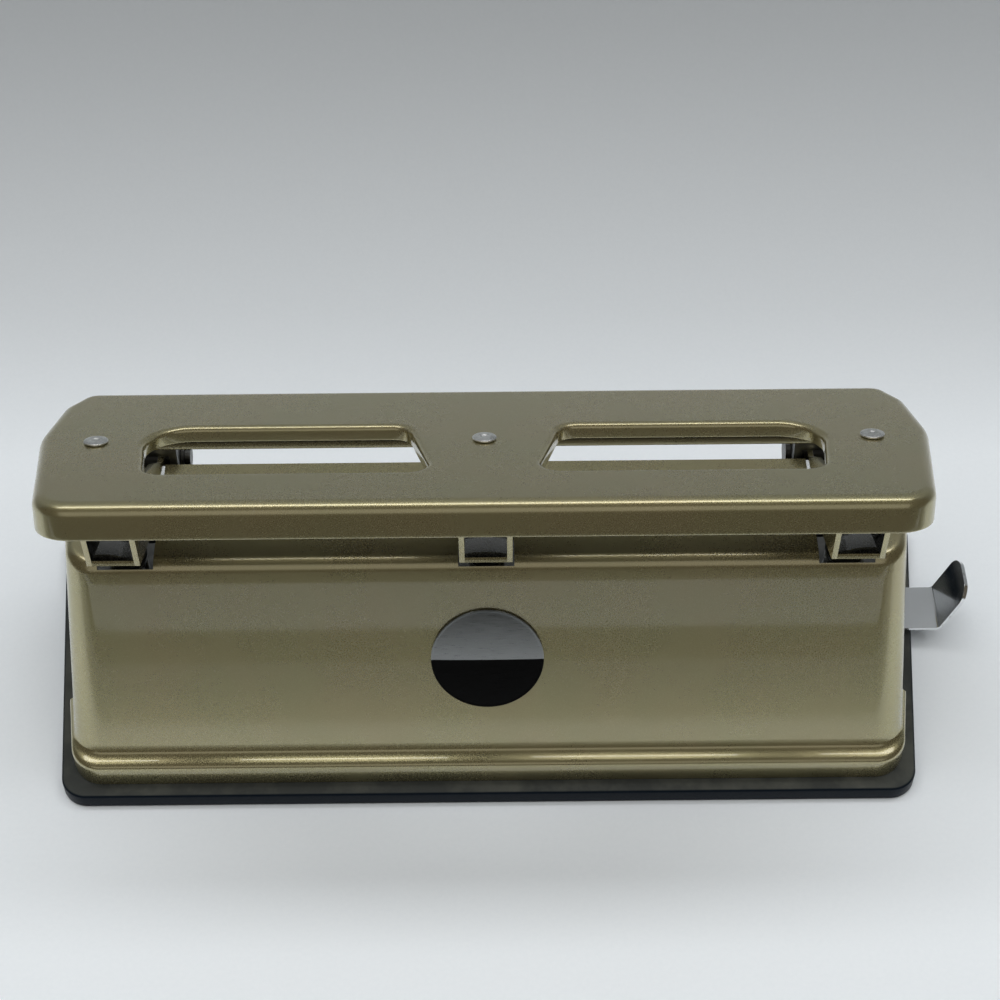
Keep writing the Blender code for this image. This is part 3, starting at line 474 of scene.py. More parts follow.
# %% Handle outlines and sections
SHEET = 0.0016
BEND = 0.0034
FLANGE_DEPTH = 0.0100
RIM_DEPTH = 0.0045
RIM_ROUND = 0.0017
HEM_ROUND = 0.0005
LIP_ROUND = 0.0004
REAR_FLANGE_DEPTH = 0.0182
DEEPER_FROM = 0.0630
DEEPER_OVER = 0.0230
INNER_ROWS_FROM = 0.62
RIVET_FORWARD = 0.0687
HANDLE_CORNERS = [(-0.11775, 0.1122), (0.11775, 0.1122), (0.125, 0.0630), (0.1226, 0.0400),
                  (0.1172, 0.0290), (-0.1172, 0.0290), (-0.1226, 0.0400), (-0.125, 0.0630)]
HANDLE_RADII = [0.011, 0.011, 0.030, 0.010, 0.006, 0.006, 0.010, 0.030]
SLOT_CORNERS = [(0.0963, 0.0580), (0.0215, 0.0580), (0.0140, 0.0905), (0.0917, 0.0905)]
SLOT_RADII = [0.0120, 0.0058, 0.0058, 0.0058]


def handle_outline(inset):
    """Handle plan as (x, forward); forward is negated while rounding so that the outline turns left."""
    corners = [(x, -forward) for x, forward in HANDLE_CORNERS]
    return rounded_outline(corners, HANDLE_RADII, inset) * (1, -1)


def slot_outline(side, inset):
    """Slot plan on one side; the left one is the right one mirrored."""
    corners = [(x, -forward) for x, forward in SLOT_CORNERS]
    return rounded_outline(corners, SLOT_RADII, inset) * (side, -1)


def flange_section():
    """(inset, up) from the flat top, round the outer bend, down to the hem, and back up inside."""
    top, low = HANDLE_TOP, HANDLE_TOP - FLANGE_DEPTH
    section = [(BEND + 0.0012, top), (BEND + 0.0004, top)]
    section += arc((BEND, top - BEND), BEND, 90, 180)
    section += [(0.0, low + 0.0012)]
    section += arc((HEM_ROUND, low + HEM_ROUND), HEM_ROUND, 180, 270, 4)
    section += arc((SHEET - HEM_ROUND, low + HEM_ROUND), HEM_ROUND, 270, 360, 4)
    inner = BEND - SHEET
    section += [(SHEET, low + 0.0012)]
    section += arc((BEND, top - BEND), inner, 180, 90)
    section += [(BEND + 0.0004, top - SHEET), (BEND + 0.0012, top - SHEET)]
    return section


def rim_section():
    """(distance into the plate from the slot's wall, up): round the lip, down the wall, and up outside."""
    top, low = HANDLE_TOP, HANDLE_TOP - RIM_DEPTH
    section = [(RIM_ROUND + 0.0010, top), (RIM_ROUND + 0.0003, top)]
    section += arc((RIM_ROUND, top - RIM_ROUND), RIM_ROUND, 90, 180)
    section += arc((LIP_ROUND, low + LIP_ROUND), LIP_ROUND, 180, 270, 4)
    section += arc((SHEET - LIP_ROUND, low + LIP_ROUND), LIP_ROUND, 270, 360, 4)
    section += [(SHEET, top - SHEET - LIP_ROUND), (SHEET + LIP_ROUND, top - SHEET)]
    section += [(RIM_ROUND + 0.0010, top - SHEET)]
    return section


# %% Handle mesh
def ring_stack(outline, section, deepen=None):
    """Grid of world points: one outline per section point, moved by its inset and set at its height."""
    rings = []
    for across, up in section:
        x, forward = outline(across).T
        rings.append(from_lever(x, forward, up if deepen is None else deepen(forward, up)))
    return np.stack(rings)


def deeper_behind(forward, up):
    """Below the bend, heights stretch from the front flange's depth to the rear one's as forward falls."""
    share = np.clip((DEEPER_FROM - forward) / DEEPER_OVER, 0.0, 1.0)
    stretch = 1 + share * (REAR_FLANGE_DEPTH - FLANGE_DEPTH) / (FLANGE_DEPTH - BEND)
    bend_foot = HANDLE_TOP - BEND
    return np.where(up < bend_foot, bend_foot - (bend_foot - up) * stretch, up)


def flat_web(outer, holes, start_outer, start_holes):
    """Triangles of the flat region between one outer ring and the rings of its holes."""
    rings = [outer, *holes]
    starts = [start_outer, *start_holes]
    index = np.concatenate([start + np.arange(len(ring)) for start, ring in zip(starts, rings)])
    triangles = geometry.tessellate_polygon([[Vector(point) for point in ring] for ring in rings])
    return index[np.array(triangles)]


def handle_plate():
    """The flange's rings, both rims' rings, and a flat web on each side that joins their ends."""
    flange = ring_stack(handle_outline, flange_section(), deeper_behind)
    rims = [ring_stack(lambda across, side=side: slot_outline(side, -across), rim_section())
            for side in (-1, 1)]
    grids = (flange, *rims)
    points, faces, starts, edge, inside = [], [], [], [], []
    total = 0
    for grid, wear_rows in ((flange, range(2, 11)), (rims[0], range(2, 8)), (rims[1], range(2, 8))):
        starts.append(total)
        points.append(grid.reshape(-1, 3))
        faces.append(grid_faces(grid.shape[0], grid.shape[1], total, close_columns=True))
        rows = np.zeros(grid.shape[0])
        rows[list(wear_rows)] = 1.0
        edge.append(np.repeat(rows, grid.shape[1]))
        # Rows past this share face the underside, where the enamel paints shade near black.
        inner = np.arange(grid.shape[0]) > grid.shape[0] * INNER_ROWS_FROM
        inside.append(np.repeat(inner.astype(float), grid.shape[1]))
        total += grid.shape[0] * grid.shape[1]
    faces = [tuple(face) for block in faces for face in block]
    for row in (0, -1):
        ends = [grid[row] for grid in grids]
        offsets = [start + (row % len(grid)) * grid.shape[1] for start, grid in zip(starts, grids)]
        faces += [tuple(face) for face in flat_web(ends[0], ends[1:], offsets[0], offsets[1:])]
    return piece("handle_pressing", np.concatenate(points), faces, ENAMEL, 50.0, np.concatenate(edge),
                 np.concatenate(inside))


handle = handle_plate()
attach(handle, "handle")
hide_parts("handle_plate")

# %% [markdown]
# ## The cover
# A deep-drawn shell. Each level is a plan outline, open at the rear, and the levels follow a section from
# the skirt that stands on the tray, over the little shelf, up the sloping front and round the shoulder. The
# wall is given its thickness afterwards, and the paper throat and arm notches are cut last.

# %% Cover levels
COVER_SHEET = 0.0012
ON_BED = float(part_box("bed_plate")[1][2]) + 0.0003
COVER_TOP = float(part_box("cover")[1][2])
LEDGE = float(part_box("cover")[0][2])
LEAN = math.radians(23.0)
COVER_REAR = at_depth(0.0755)
SKIRT_FRONT = float(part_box("cover")[0][1])
COVER_CORNER = 0.0100
COVER_HALF = 0.1297
COVER_TAPER = 0.0042
SKIRT_FLARE = 0.0006
SLOPE_FOOT = 0.0080
SHOULDER = 0.0030
SPREAD = math.atan(0.155)
SKIRT_SHARES = np.array([(0.0060, 1.0), (0.0134, 1.0), (0.0140, 0.985), (0.0146, 0.93), (0.0150, 0.83),
                         (0.0153, 0.68), (0.0155, 0.52), (0.0157, 0.34), (0.0160, 0.16), (0.0164, 0.04),
                         (0.0168, 0.0), (0.0800, 0.0)])


def cover_ring(z, inward, corner_steps=14):
    """U-shaped plan at height z: from the rear left, along a side that spreads rearwards, round the front."""
    share = float(np.interp(z, SKIRT_SHARES[:, 0], SKIRT_SHARES[:, 1]))
    climb = (max(z, ON_BED) - ON_BED) / (COVER_TOP - ON_BED)
    slope = at_depth(SLOPE_FOOT) + (z - ON_BED) * math.tan(LEAN)
    front = slope + (SKIRT_FRONT - slope) * share
    moved = inward / math.cos(LEAN)
    half = COVER_HALF - COVER_TAPER * climb + SKIRT_FLARE * share
    half += math.tan(SPREAD) * moved - inward / math.cos(SPREAD)
    front += moved
    corner = COVER_CORNER - inward
    centre = half - corner * math.tan((math.pi / 2 - SPREAD) / 2)
    angle = np.linspace(-math.pi / 2, -SPREAD, corner_steps + 1)
    bend = np.stack([centre + corner * np.cos(angle), front + corner + corner * np.sin(angle)], axis=-1)
    y = np.linspace(bend[-1, 1], COVER_REAR, 14)[1:]
    side = np.stack([bend[-1, 0] + math.tan(SPREAD) * (y - bend[-1, 1]), y], axis=-1)
    across = np.linspace(-centre, centre, 30)[1:-1]
    right = np.concatenate([bend, side])
    middle = np.stack([across, np.full(len(across), front)], axis=-1)
    plan = np.concatenate([right[::-1] * (-1, 1), middle, right])
    return np.column_stack([plan, np.full(len(plan), z)])


def cover_levels():
    """(height, inset) pairs up the wall, then round the shoulder on a quarter circle."""
    skirt = [LEDGE, 0.0100, 0.0134, 0.0137, 0.0140, 0.0143, 0.0146, 0.0148, 0.0150, 0.01515, 0.0153, 0.0154,
             0.0155, 0.0156, 0.0157, 0.01585, 0.0160, 0.0162, 0.0164, 0.0168, 0.0190]
    wall = list(np.linspace(0.0260, COVER_TOP - SHOULDER, 14))
    levels = [(z, 0.0) for z in skirt + wall[:-1]]
    angle = np.linspace(0, math.pi / 2, 11)
    levels += [(COVER_TOP - SHOULDER * (1 - math.sin(a)), SHOULDER * (1 - math.cos(a))) for a in angle]
    levels.append((COVER_TOP, SHOULDER + 0.0010))
    return levels


# %% Cutting helpers
def box_cutter(name, low, high):
    """A plain box between two corners, used once to cut with and then removed."""
    low, high = np.array(low), np.array(high)
    corner = np.array([[0, 0, 0], [1, 0, 0], [1, 1, 0], [0, 1, 0],
                       [0, 0, 1], [1, 0, 1], [1, 1, 1], [0, 1, 1]])
    mesh = bpy.data.meshes.new(name)
    faces = [(0, 3, 2, 1), (4, 5, 6, 7), (0, 1, 5, 4), (1, 2, 6, 5), (2, 3, 7, 6), (3, 0, 4, 7)]
    mesh.from_pydata(low + corner * (high - low), [], faces)
    obj = bpy.data.objects.new(name, mesh)
    bpy.context.scene.collection.objects.link(obj)
    return obj


def apply_modifiers(obj):
    """Bakes the modifiers into the mesh, as one evaluated copy."""
    graph = bpy.context.evaluated_depsgraph_get()
    baked = bpy.data.meshes.new_from_object(obj.evaluated_get(graph))
    obj.modifiers.clear()
    obj.data = baked


def cut_away(obj, tools):
    """Takes each box out of the mesh; the manifold solver keeps a thin folded wall closed."""
    for tool in tools:
        modifier = obj.modifiers.new(tool.name, "BOOLEAN")
        modifier.operation = "DIFFERENCE"
        modifier.solver = "MANIFOLD"
        modifier.object = tool
    apply_modifiers(obj)
    for tool in tools:
        bpy.data.objects.remove(tool, do_unlink=True)


# %% Cover mesh, wall and cuts
THROAT_DEPTH, THROAT_TOP = 0.0310, 0.0175
NOTCH_DEPTH, NOTCH_DROP, NOTCH_HALF = 0.0354, 0.0110, 0.0084
PAST = 0.0100


def drawn_cover():
    """Outlines stacked by level and capped on top, then thickened inwards and cut."""
    grid = np.stack([cover_ring(z, inward) for z, inward in cover_levels()])
    rows, columns = grid.shape[:2]
    faces = [tuple(face) for face in grid_faces(rows, columns)]
    last = (rows - 1) * columns
    triangles = geometry.tessellate_polygon([[Vector(point) for point in grid[-1]]])
    faces += [tuple(last + np.array(face)) for face in triangles]
    edge = np.zeros((rows, columns))
    edge[0] = 1.0
    edge[4:12] = 1.0
    shell = piece("cover_shell", grid.reshape(-1, 3), faces, ENAMEL, 50.0, edge)
    wall = shell.modifiers.new("wall", "SOLIDIFY")
    wall.thickness = COVER_SHEET
    wall.offset = -1.0
    wall.use_even_offset = True
    rear = COVER_REAR + PAST
    throat = box_cutter("throat", (-0.15, at_depth(THROAT_DEPTH), 0.0), (0.15, rear, THROAT_TOP))
    notches = [box_cutter(f"notch_{side}", (x - NOTCH_HALF, at_depth(NOTCH_DEPTH), COVER_TOP - NOTCH_DROP),
                          (x + NOTCH_HALF, rear, COVER_TOP + PAST)) for side, x in ARM_PLACES.items()]
    cut_away(shell, [throat, *notches])
    shell.data.set_sharp_from_angle(angle=math.radians(50))
    return shell


cover = drawn_cover()
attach(cover, "base")
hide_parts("cover")

# %% [markdown]
# ## The chip tray
# A moulded tray whose section, from the flat floor out to the rounded outer wall, over the ledge and up the
# inner rim, is carried round a plan that widens to the rear.

# %% Chip tray
TRAY_WALL = 0.0015
TRAY_LEDGE = 0.0091
TRAY_RIM = 0.0060
TRAY_HEIGHT = 0.0100


def tray_outline(inset):
    """Trapezoid with rounded corners: narrower in front."""
    corners = [(-0.1345, -0.056), (0.1345, -0.056), (0.1472, 0.056), (-0.1472, 0.056)]
    return rounded_outline(corners, [0.0085] * 4, inset, 14)


def tray_section():
    """(inset, z): under the edge, up the outer wall, over the ledge, up the rim and down to the floor."""
    inner = TRAY_LEDGE + TRAY_WALL
    section = arc((0.0010, 0.0010), 0.0010, 270, 180, 5)
    section += arc((0.0009, TRAY_RIM - 0.0009), 0.0009, 180, 90, 6)
    section += [(0.0030, TRAY_RIM), (TRAY_LEDGE - 0.0005, TRAY_RIM), (TRAY_LEDGE, TRAY_RIM + 0.0005)]
    section += arc((TRAY_LEDGE + 0.0004, TRAY_HEIGHT - 0.0004), 0.0004, 180, 90, 4)
    section += arc((inner - 0.0004, TRAY_HEIGHT - 0.0004), 0.0004, 90, 0, 4)
    section += arc((inner + 0.0008, TRAY_WALL + 0.0008), 0.0008, 180, 270, 4)
    return section


def chip_tray():
    """The section carried round the plan, closed below and inside, with the guide's slot cut out."""
    rings = [(tray_outline(inset), z) for inset, z in tray_section()]
    grid = np.stack([np.column_stack([ring, np.full(len(ring), z)]) for ring, z in rings])
    rows, columns = grid.shape[:2]
    faces = [tuple(face) for face in grid_faces(rows, columns, close_columns=True)]
    faces.append(tuple(range(columns)))
    faces.append(tuple(range((rows - 1) * columns, rows * columns)))
    edge = np.zeros((rows, columns))
    edge[6:12] = 1.0
    tray = piece("chip_tray", grid.reshape(-1, 3), faces, TRAY_PLASTIC, 50.0, edge)
    guide_low, guide_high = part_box("side_guide")
    slot = box_cutter("guide_slot", (0.1150, guide_low[1] - 0.001, guide_low[2] - 0.0005),
                      (0.16, guide_high[1] + 0.001, 0.011))
    cut_away(tray, [slot])
    return tray


tray = chip_tray()
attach(tray, "base")
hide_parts("chip_pan")

# %% [markdown]
# ## The badge
# A thin domed disc on the sloping front. The maker's words are left off: it keeps only its two tones, brushed
# silver above and gloss black below, split by a hairline.

# %% Badge
BADGE_PLACE = np.array([0.0, 0.0, 0.0472])
BADGE_RADIUS = 0.0173


def badge_finish():
    """Silver above the split and black below it, with sideways brushing only in the silver."""
    material, tree, shader = shader_for("badge_print", 0.9, 0.3, (0.3, 0.3, 0.3), Specular_IOR_Level=0.08)
    place = object_place(tree)
    split = add(tree, "ShaderNodeSeparateXYZ")
    link(tree, place, split.inputs["Vector"])
    upper = remap(tree, split.outputs["Z"], 0.04755, 0.04765)
    lighter = remap(tree, split.outputs["Z"], 0.0476, 0.0640)
    stretch = add(tree, "ShaderNodeMapping")
    stretch.inputs["Scale"].default_value = (0.03, 1.0, 1.0)
    link(tree, place, stretch.inputs["Vector"])
    brushing = noise(tree, stretch.outputs["Vector"], 6000.0, 3.0, 0.6)
    silver = mix_colour(tree, lighter, (0.46, 0.48, 0.49), (0.09, 0.10, 0.10))
    scratched = mix_colour(tree, remap(tree, brushing, 0.3, 0.7, 0.0, 0.25), silver, (0.55, 0.56, 0.57))
    link(tree, mix_colour(tree, upper, (0.002, 0.002, 0.002), scratched), shader.inputs["Base Color"])
    link(tree, remap(tree, upper, 0.0, 1.0, 0.0, 0.9), shader.inputs["Metallic"])
    link(tree, remap(tree, brushing, 0.3, 0.7, 0.24, 0.4), shader.inputs["Roughness"])
    return material


def badge_disc():
    """Turned profile laid on the slope: a bead at the rim and a face that rises 0.2 mm to the middle."""
    radius = BADGE_RADIUS
    profile = [(0.0, 0.0), (radius * 0.5, 0.0), (radius - 0.0001, 0.0)]
    profile += arc((radius - 0.0003, 0.0004), 0.0003, -60, 90, 6)
    profile += [(radius - 0.0006, 0.0006), (radius - 0.0009, 0.00062), (radius * 0.66, 0.00072),
                (radius * 0.33, 0.00078), (0.0, 0.0008)]
    grid = turned(profile, 96)
    out = np.array([0.0, -math.cos(LEAN), math.sin(LEAN)])
    up = np.array([0.0, math.sin(LEAN), math.cos(LEAN)])
    on_slope = at_depth(SLOPE_FOOT) + (BADGE_PLACE[2] - ON_BED) * math.tan(LEAN)
    base = BADGE_PLACE + (0.0, on_slope, 0.0) + out * 0.0003
    points = base + grid[..., :1] * (1, 0, 0) + grid[..., 1:2] * up + grid[..., 2:] * out
    faces = grid_faces(*grid.shape[:2], close_columns=True)
    return piece("badge_disc", points, [tuple(f) for f in faces], badge_finish(), 50.0)


badge = badge_disc()
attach(badge, "base")
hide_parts("badge_plate")

# %% [markdown]
# ## Rivets
# Tubular rivets with a low wide head. The punch that closed each one left a small dimple in the middle of
# the head with a bright spot on its bottom.

# %% Handle rivets
def rivet(side, x):
    """Turned profile: domed rim, shallow dimple, shank through the sheet, and the rolled-over foot below."""
    seat, under = HANDLE_TOP + 0.0002, HANDLE_TOP - 2 * SHEET - 0.0006
    profile = [(0.0, seat + 0.00045), (0.0004, seat + 0.00042), (0.0008, seat + 0.00038),
               (0.0011, seat + 0.0006), (0.0014, seat + 0.00085), (0.0019, seat + 0.00092),
               (0.0025, seat + 0.00080)]
    profile += arc((0.0031, seat + 0.0003), 0.00032, 80, -60, 6)
    profile += [(0.0020, seat - 0.0001), (0.0019, under), (0.0030, under), (0.0028, under - 0.0009),
                (0.0012, under - 0.0012), (0.0, under - 0.0012)]
    grid = turned(profile, 48)
    points = from_lever(x + grid[..., 0], RIVET_FORWARD + grid[..., 1], grid[..., 2])
    obj = piece(f"rivet_{side}", points, [tuple(f) for f in grid_faces(*grid.shape[:2], close_columns=True)],
                RIVET_STEEL, 45.0)
    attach(obj, "handle")
    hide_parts(f"handle_rivet_{side}")


for side, x in ARM_PLACES.items():
    rivet(side, x)

# %% [markdown]
# ## The side guide
# A bright strip that slides under the bed and turns up into a thumb tab. Its section along X is one path
# with a bend, swept across its width; the tab's free corners are rounded by narrowing the sweep.

# %% Side guide
TAB_OUTER_FACE = 0.1515
TAB_OUTER_BEND = 0.0028


def side_guide():
    """Centre line of strip and tab as (x, z), carried across Y; its half-width ends on a quarter circle."""
    low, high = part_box("side_guide")
    sheet, bend, lean = 0.0012, 0.0022, math.radians(19.0)
    floor = float(low[2])
    turn = math.pi / 2 - lean
    centre = (TAB_OUTER_FACE - TAB_OUTER_BEND, floor + TAB_OUTER_BEND)
    angle = np.linspace(-math.pi / 2, -math.pi / 2 + turn, 14)
    x = np.concatenate([np.linspace(float(low[0]), centre[0], 10)[:-1], centre[0] + bend * np.cos(angle)])
    z = np.concatenate([np.full(9, floor + sheet / 2), centre[1] + bend * np.sin(angle)])
    rise = np.array([math.sin(lean), math.cos(lean)])
    length = 0.0180
    corner = 0.0055
    along = np.concatenate([np.linspace(0, length - corner, 6)[1:],
                            length - corner + corner * np.sin(np.linspace(0, math.pi / 2, 12))[1:]])
    x = np.concatenate([x, x[-1] + along * rise[0]])
    z = np.concatenate([z, z[-1] + along * rise[1]])
    half = np.full(len(x), (high[1] - low[1]) / 2)
    past = np.clip((along - (length - corner)) / corner, 0, 1)
    half[-len(along):] -= corner * (1 - np.sqrt(1 - past ** 2))
    middle = (low[1] + high[1]) / 2
    across = np.linspace(-1, 1, 9)
    slope = np.gradient(np.column_stack([x, z]), axis=0)
    slope /= np.linalg.norm(slope, axis=1, keepdims=True)
    normal = np.column_stack([-slope[:, 1], slope[:, 0]])
    points = []
    rows, columns = len(x), len(across)
    for sign in (-1, 1):
        px = x + normal[:, 0] * sign * sheet / 2
        pz = z + normal[:, 1] * sign * sheet / 2
        y = middle + half[:, None] * across
        points.append(np.stack(np.broadcast_arrays(px[:, None], y, pz[:, None]), axis=-1).reshape(-1, 3))
    count = rows * columns
    faces = [tuple(f) for start in (0, count) for f in grid_faces(rows, columns, start)]
    border = np.concatenate([np.arange(rows) * columns, (rows - 1) * columns + np.arange(1, columns),
                             np.arange(rows - 2, -1, -1) * columns + columns - 1,
                             np.arange(columns - 2, 0, -1)])
    after = np.roll(border, -1)
    faces += [tuple(f) for f in np.stack([border, after, after + count, border + count], axis=-1)]
    edge = np.zeros((2, rows, columns))
    edge[:, :, [0, -1]] = 1.0
    edge[:, -1] = 1.0
    guide = piece("guide_strip", np.concatenate(points), faces, CHROME, 40.0, edge)
    soften = guide.modifiers.new("soft_edges", "BEVEL")
    soften.width = 0.0002
    soften.segments = 2
    soften.limit_method = "ANGLE"
    apply_modifiers(guide)
    return guide


guide = side_guide()
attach(guide, "guide")
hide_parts("side_guide")

# %% [markdown]
# ## Arms and the other frame nodes
# The arms and punch heads are folded from thick sheet whose cut edges catch the light. Their shape in the
# CAD model is right, so each is copied, its triangles are joined, and a small bevel softens the copy.

# %% Bevelled copies of the sheet-metal nodes
def merged_copy(node, name, material, flatten=True):
    """A CAD node's triangles with shared corners joined and, with flatten, each flat side made one face."""
    source = nodes[node]
    bm = bmesh.new()
    bm.from_mesh(source.data)
    bm.transform(source.matrix_world)
    bmesh.ops.remove_doubles(bm, verts=bm.verts, dist=2e-6)
    if flatten:
        bmesh.ops.dissolve_limit(bm, angle_limit=math.radians(1.0), verts=bm.verts, edges=bm.edges)
    mesh = bpy.data.meshes.new(name)
    bm.to_mesh(mesh)
    bm.free()
    mesh.shade_smooth()
    mesh.materials.clear()
    mesh.materials.append(material)
    obj = bpy.data.objects.new(name, mesh)
    bpy.context.scene.collection.objects.link(obj)
    return obj


def bevelled(node, name, material, width, body):
    """A merged copy of a CAD node with its sharp edges softened."""
    obj = merged_copy(node, name, material)
    soften = obj.modifiers.new("soft_edges", "BEVEL")
    soften.width = width
    soften.segments = 2
    soften.limit_method = "ANGLE"
    soften.angle_limit = math.radians(35)
    soften.use_clamp_overlap = True
    apply_modifiers(obj)
    obj.data.set_sharp_from_angle(angle=math.radians(40))
    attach(obj, body)
    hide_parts(node)
    print(f"{name}: {len(obj.data.polygons)} faces")
    return obj


# %% Arms and heads
CHEEK_INSIDE = 0.0067
WEB_HALF = 0.0061


def shade_inside(arm, x):
    """Marks the faces that look into the channel, which the enamel paints near black as shade: those turned
    to its middle plane, and the web's own.
    """
    mesh = arm.data
    centre, normal = np.empty(len(mesh.polygons) * 3), np.empty(len(mesh.polygons) * 3)
    mesh.polygons.foreach_get("center", centre)
    mesh.polygons.foreach_get("normal", normal)
    centre, normal = centre.reshape(-1, 3), normal.reshape(-1, 3)
    across = centre[:, 0] - x
    cheek = (normal[:, 0] * across < 0) & (np.abs(normal[:, 0]) > 0.5) & (np.abs(across) < CHEEK_INSIDE)
    up = normal @ np.array([0.0, math.sin(LIFT), math.cos(LIFT)])
    web = (np.abs(across) < WEB_HALF) & (np.abs(up) > 0.4)
    mesh.attributes.new("inside", "FLOAT", "FACE").data.foreach_set("value", (cheek | web).astype(np.float32))


for side, x in ARM_PLACES.items():
    arm = bevelled(f"lever_arm_{side}", f"arm_{side}", ENAMEL, 0.00025, "handle")
    shade_inside(arm, x)
    bevelled(f"punch_head_{side}", f"head_{side}", HEAD_STEEL, 0.0003, "base")

# %% [markdown]
# ## The return springs
# Each punch pin pushes its spring shut on the way down. A spring could be given bones or a shape key; here
# each one is a joined copy of its CAD node, fixed to the base with a mesh of its own, and left at rest.


def live_spring(side):
    """A joined copy of the CAD spring, fixed to the base, with a mesh of its own."""
    node = f"return_spring_{side}"
    obj = merged_copy(node, f"spring_{side}", PLAIN_STEEL, flatten=False)
    obj.data.set_sharp_from_angle(angle=math.radians(50))
    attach(obj, "base")
    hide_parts(node)
    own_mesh(obj)


for side in ARM_PLACES:
    live_spring(side)

# %% [markdown]
# ## Finishes for the rest
# Pins, sleeves, clips, screws, dies and the bed keep their CAD shape. Each one names a material slot in the
# record, so one table from slot to finish dresses them all.

# %% Finishes for the nodes that keep their shape
kept = {"plain_steel": PLAIN_STEEL, "head_steel": HEAD_STEEL, "chrome": CHROME, "champagne_paint": ENAMEL,
        "pan_plastic": TRAY_PLASTIC}
for entry in frame["record"]["subparts"]:
    node = nodes.get(entry["node"])
    if node is not None and entry["material_slot"] in kept:
        for slot_of in node.material_slots:
            slot_of.material = kept[entry["material_slot"]]

# %% [markdown]
# ## Stage
# A pale sweep of paper: flat under the punch, then curving up behind it, so no line shows where floor meets
# wall, and painted darker as it rises behind, as shade. Enamel mirrors what stands in front of it, so past
# the paper's front edge darker stretches are painted that only reflections see, which puts soft bands on the
# slope.
# The camera always sees those stretches pale, and looks through the paper's back from behind.

# %% Paper
SWEEP_RADIUS, SWEEP_START, SWEEP_TOP = 0.16, 0.115, 1.4
SHADE_FROM, SHADE_TO = -1.0, 0.3
# Painted shade by Y: dark stretches in front that only reflections see, and the paper darker as it rises
# behind.
PAINTED_SHADE_STOPS = [(-1.0, 0.05), (-0.80, 0.05), (-0.72, 1.0), (-0.460, 1.0), (-0.453, 0.04), (-0.345, 0.04),
          (-0.338, 0.34), (-0.200, 0.34), (-0.172, 1.0), (-0.10, 1.05), (-0.04, 1.0), (0.09, 0.97),
          (0.16, 0.74), (0.25, 0.54), (0.30, 0.50)]
PALE_PLACE = -0.172
FAR_AWAY = 10.0


def backdrop_with_painted_shade():
    """Paper fibre times a painted shade by Y; for camera rays, Y is held at or behind the pale place."""
    material, tree, shader = shader_for("backdrop_painted_shade", 0.0, 0.75, (0.78, 0.80, 0.82))
    fibre = noise(tree, object_place(tree), 700.0, 4.0, 0.6)
    paper = mix_colour(tree, remap(tree, fibre, 0.3, 0.7), (0.850, 0.898, 0.938), (0.872, 0.918, 0.955))
    along = add(tree, "ShaderNodeSeparateXYZ")
    link(tree, object_place(tree), along.inputs["Vector"])
    ramp = add(tree, "ShaderNodeValToRGB")
    while len(ramp.color_ramp.elements) < len(PAINTED_SHADE_STOPS):
        ramp.color_ramp.elements.new(0.5)
    for element, (place, value) in zip(ramp.color_ramp.elements, PAINTED_SHADE_STOPS):
        element.position = (place - SHADE_FROM) / (SHADE_TO - SHADE_FROM)
        element.color = (value, value, value, 1.0)
    from_camera = add(tree, "ShaderNodeLightPath").outputs["Is Camera Ray"]
    nearest = math_node(tree, "MULTIPLY", from_camera, FAR_AWAY + PALE_PLACE)
    nearest = math_node(tree, "SUBTRACT", nearest, FAR_AWAY)
    shown_y = math_node(tree, "MAXIMUM", along.outputs["Y"], nearest)
    link(tree, remap(tree, shown_y, SHADE_FROM, SHADE_TO), ramp.inputs["Fac"])
    back = add(tree, "ShaderNodeNewGeometry").outputs["Backfacing"]
    looked_through = math_node(tree, "MULTIPLY", back, from_camera)
    link(tree, math_node(tree, "SUBTRACT", 1.0, looked_through), shader.inputs["Alpha"])
    shade = add(tree, "ShaderNodeMix", data_type="RGBA", blend_type="MULTIPLY")
    shade.inputs["Factor"].default_value = 1.0
    link(tree, paper, shade.inputs[6])
    link(tree, ramp.outputs["Color"], shade.inputs[7])
    link(tree, shade.outputs[2], shader.inputs["Base Color"])
    return material


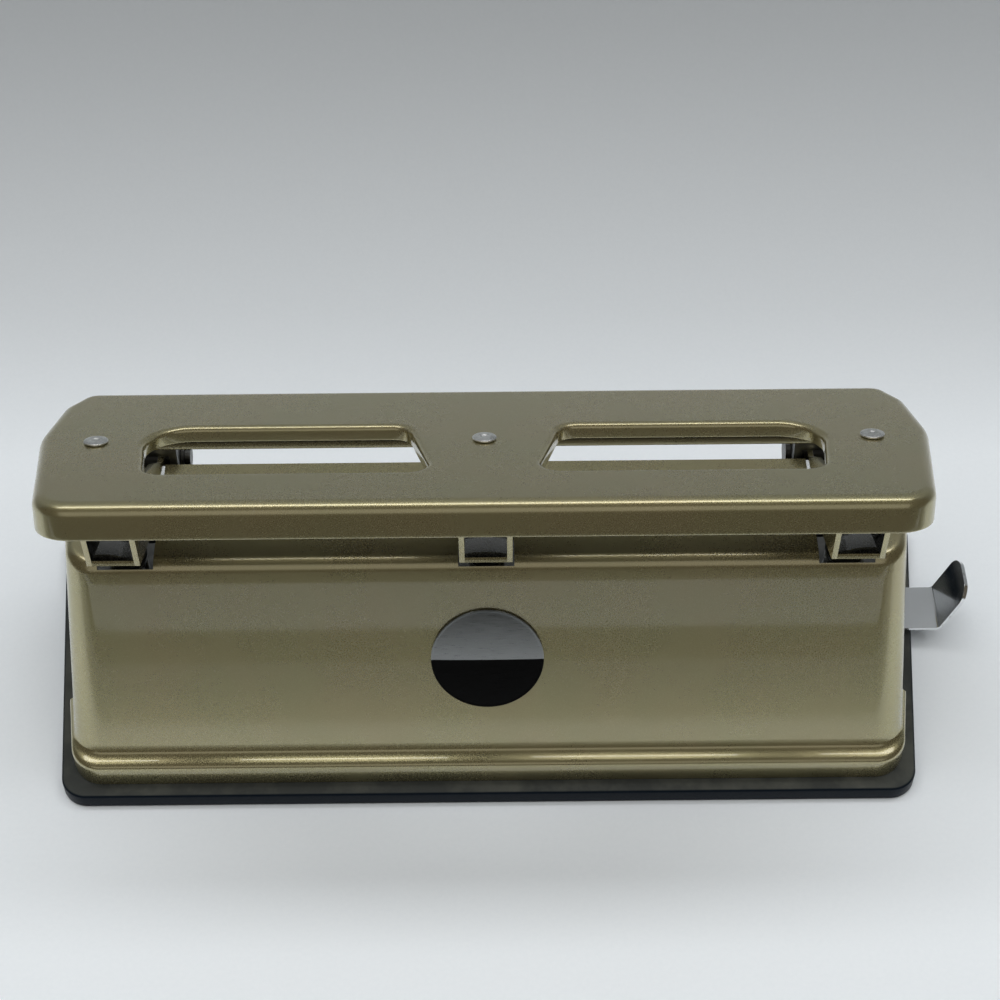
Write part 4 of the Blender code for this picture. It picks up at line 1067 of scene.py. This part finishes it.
# %% Sweep
def paper_sweep():
    """Section (y, z): flat, a quarter circle of radius r, then upright; carried along X."""
    angle = np.linspace(0, math.pi / 2, 24)
    wall = SWEEP_START + SWEEP_RADIUS
    y = np.concatenate([[-2.5, -1.0, 0.0], SWEEP_START + SWEEP_RADIUS * np.sin(angle), [wall]])
    z = np.concatenate([[0.0, 0.0, 0.0], SWEEP_RADIUS * (1 - np.cos(angle)), [SWEEP_TOP]])
    x = np.linspace(-2.2, 2.2, 9)
    grid = np.stack(np.broadcast_arrays(x, y[:, None], z[:, None]), axis=-1)
    faces = [tuple(face) for face in grid_faces(len(y), len(x))]
    obj = piece("paper_sweep", grid.reshape(-1, 3), faces, backdrop_with_painted_shade(), 60.0)
    if obj.data.polygons[0].normal.z < 0:
        obj.data.flip_normals()


paper_sweep()

# %% [markdown]
# ## Light
# A soft light hangs above and behind, and draws a line along each bend. A second fills the floor from above
# and is left out of reflections, and a faint third stands high in front.

# %% Lights
def soft_light(name, place, aim, width, height, watts, colour=(1.0, 1.0, 1.0)):
    """A rectangle of light at place, turned to face aim."""
    lamp = bpy.data.lights.new(name, "AREA")
    lamp.shape = "RECTANGLE"
    lamp.size, lamp.size_y = width, height
    lamp.energy = watts
    lamp.color = colour
    obj = bpy.data.objects.new(name, lamp)
    obj.location = place
    obj.rotation_euler = (Vector(aim) - Vector(place)).to_track_quat("-Z", "Y").to_euler()
    bpy.context.scene.collection.objects.link(obj)
    return obj


soft_light("key_overhead", (0.0, 0.38, 1.15), (0.0, 0.02, 0.0), 1.5, 0.60, 10.0)
floor_fill = soft_light("floor_fill", (0.0, -0.12, 1.20), (0.0, -0.05, 0.0), 1.6, 1.0, 11.0)
floor_fill.visible_glossy = False
soft_light("front_high", (0.0, -0.95, 0.95), (0.0, -0.05, 0.05), 1.8, 0.8, 1.5)
world = bpy.data.worlds.new("soft_room")
world.use_nodes = True
world.node_tree.nodes["Background"].inputs["Color"].default_value = (1.0, 0.88, 0.68, 1.0)
world.node_tree.nodes["Background"].inputs["Strength"].default_value = 0.10
bpy.context.scene.world = world

# %% [markdown]
# ## Camera
# It looks down about 50 degrees from the operator's side. A long lens keeps the sides nearly parallel.

# %% Camera
camera_data = bpy.data.cameras.new("camera")
camera_data.lens = 72.29
camera_data.sensor_width = 36.0
camera = bpy.data.objects.new("camera", camera_data)
camera.location = (0.0030, -0.3917, 0.5487)
camera.rotation_euler = (math.radians(40.04), math.radians(0.26), math.radians(-0.50))
bpy.context.scene.collection.objects.link(camera)
bpy.context.scene.camera = camera
bpy.context.scene.view_settings.view_transform = "Standard"
print("camera at", tuple(round(value, 4) for value in camera.location))

# %% [markdown]

# %% json
import json
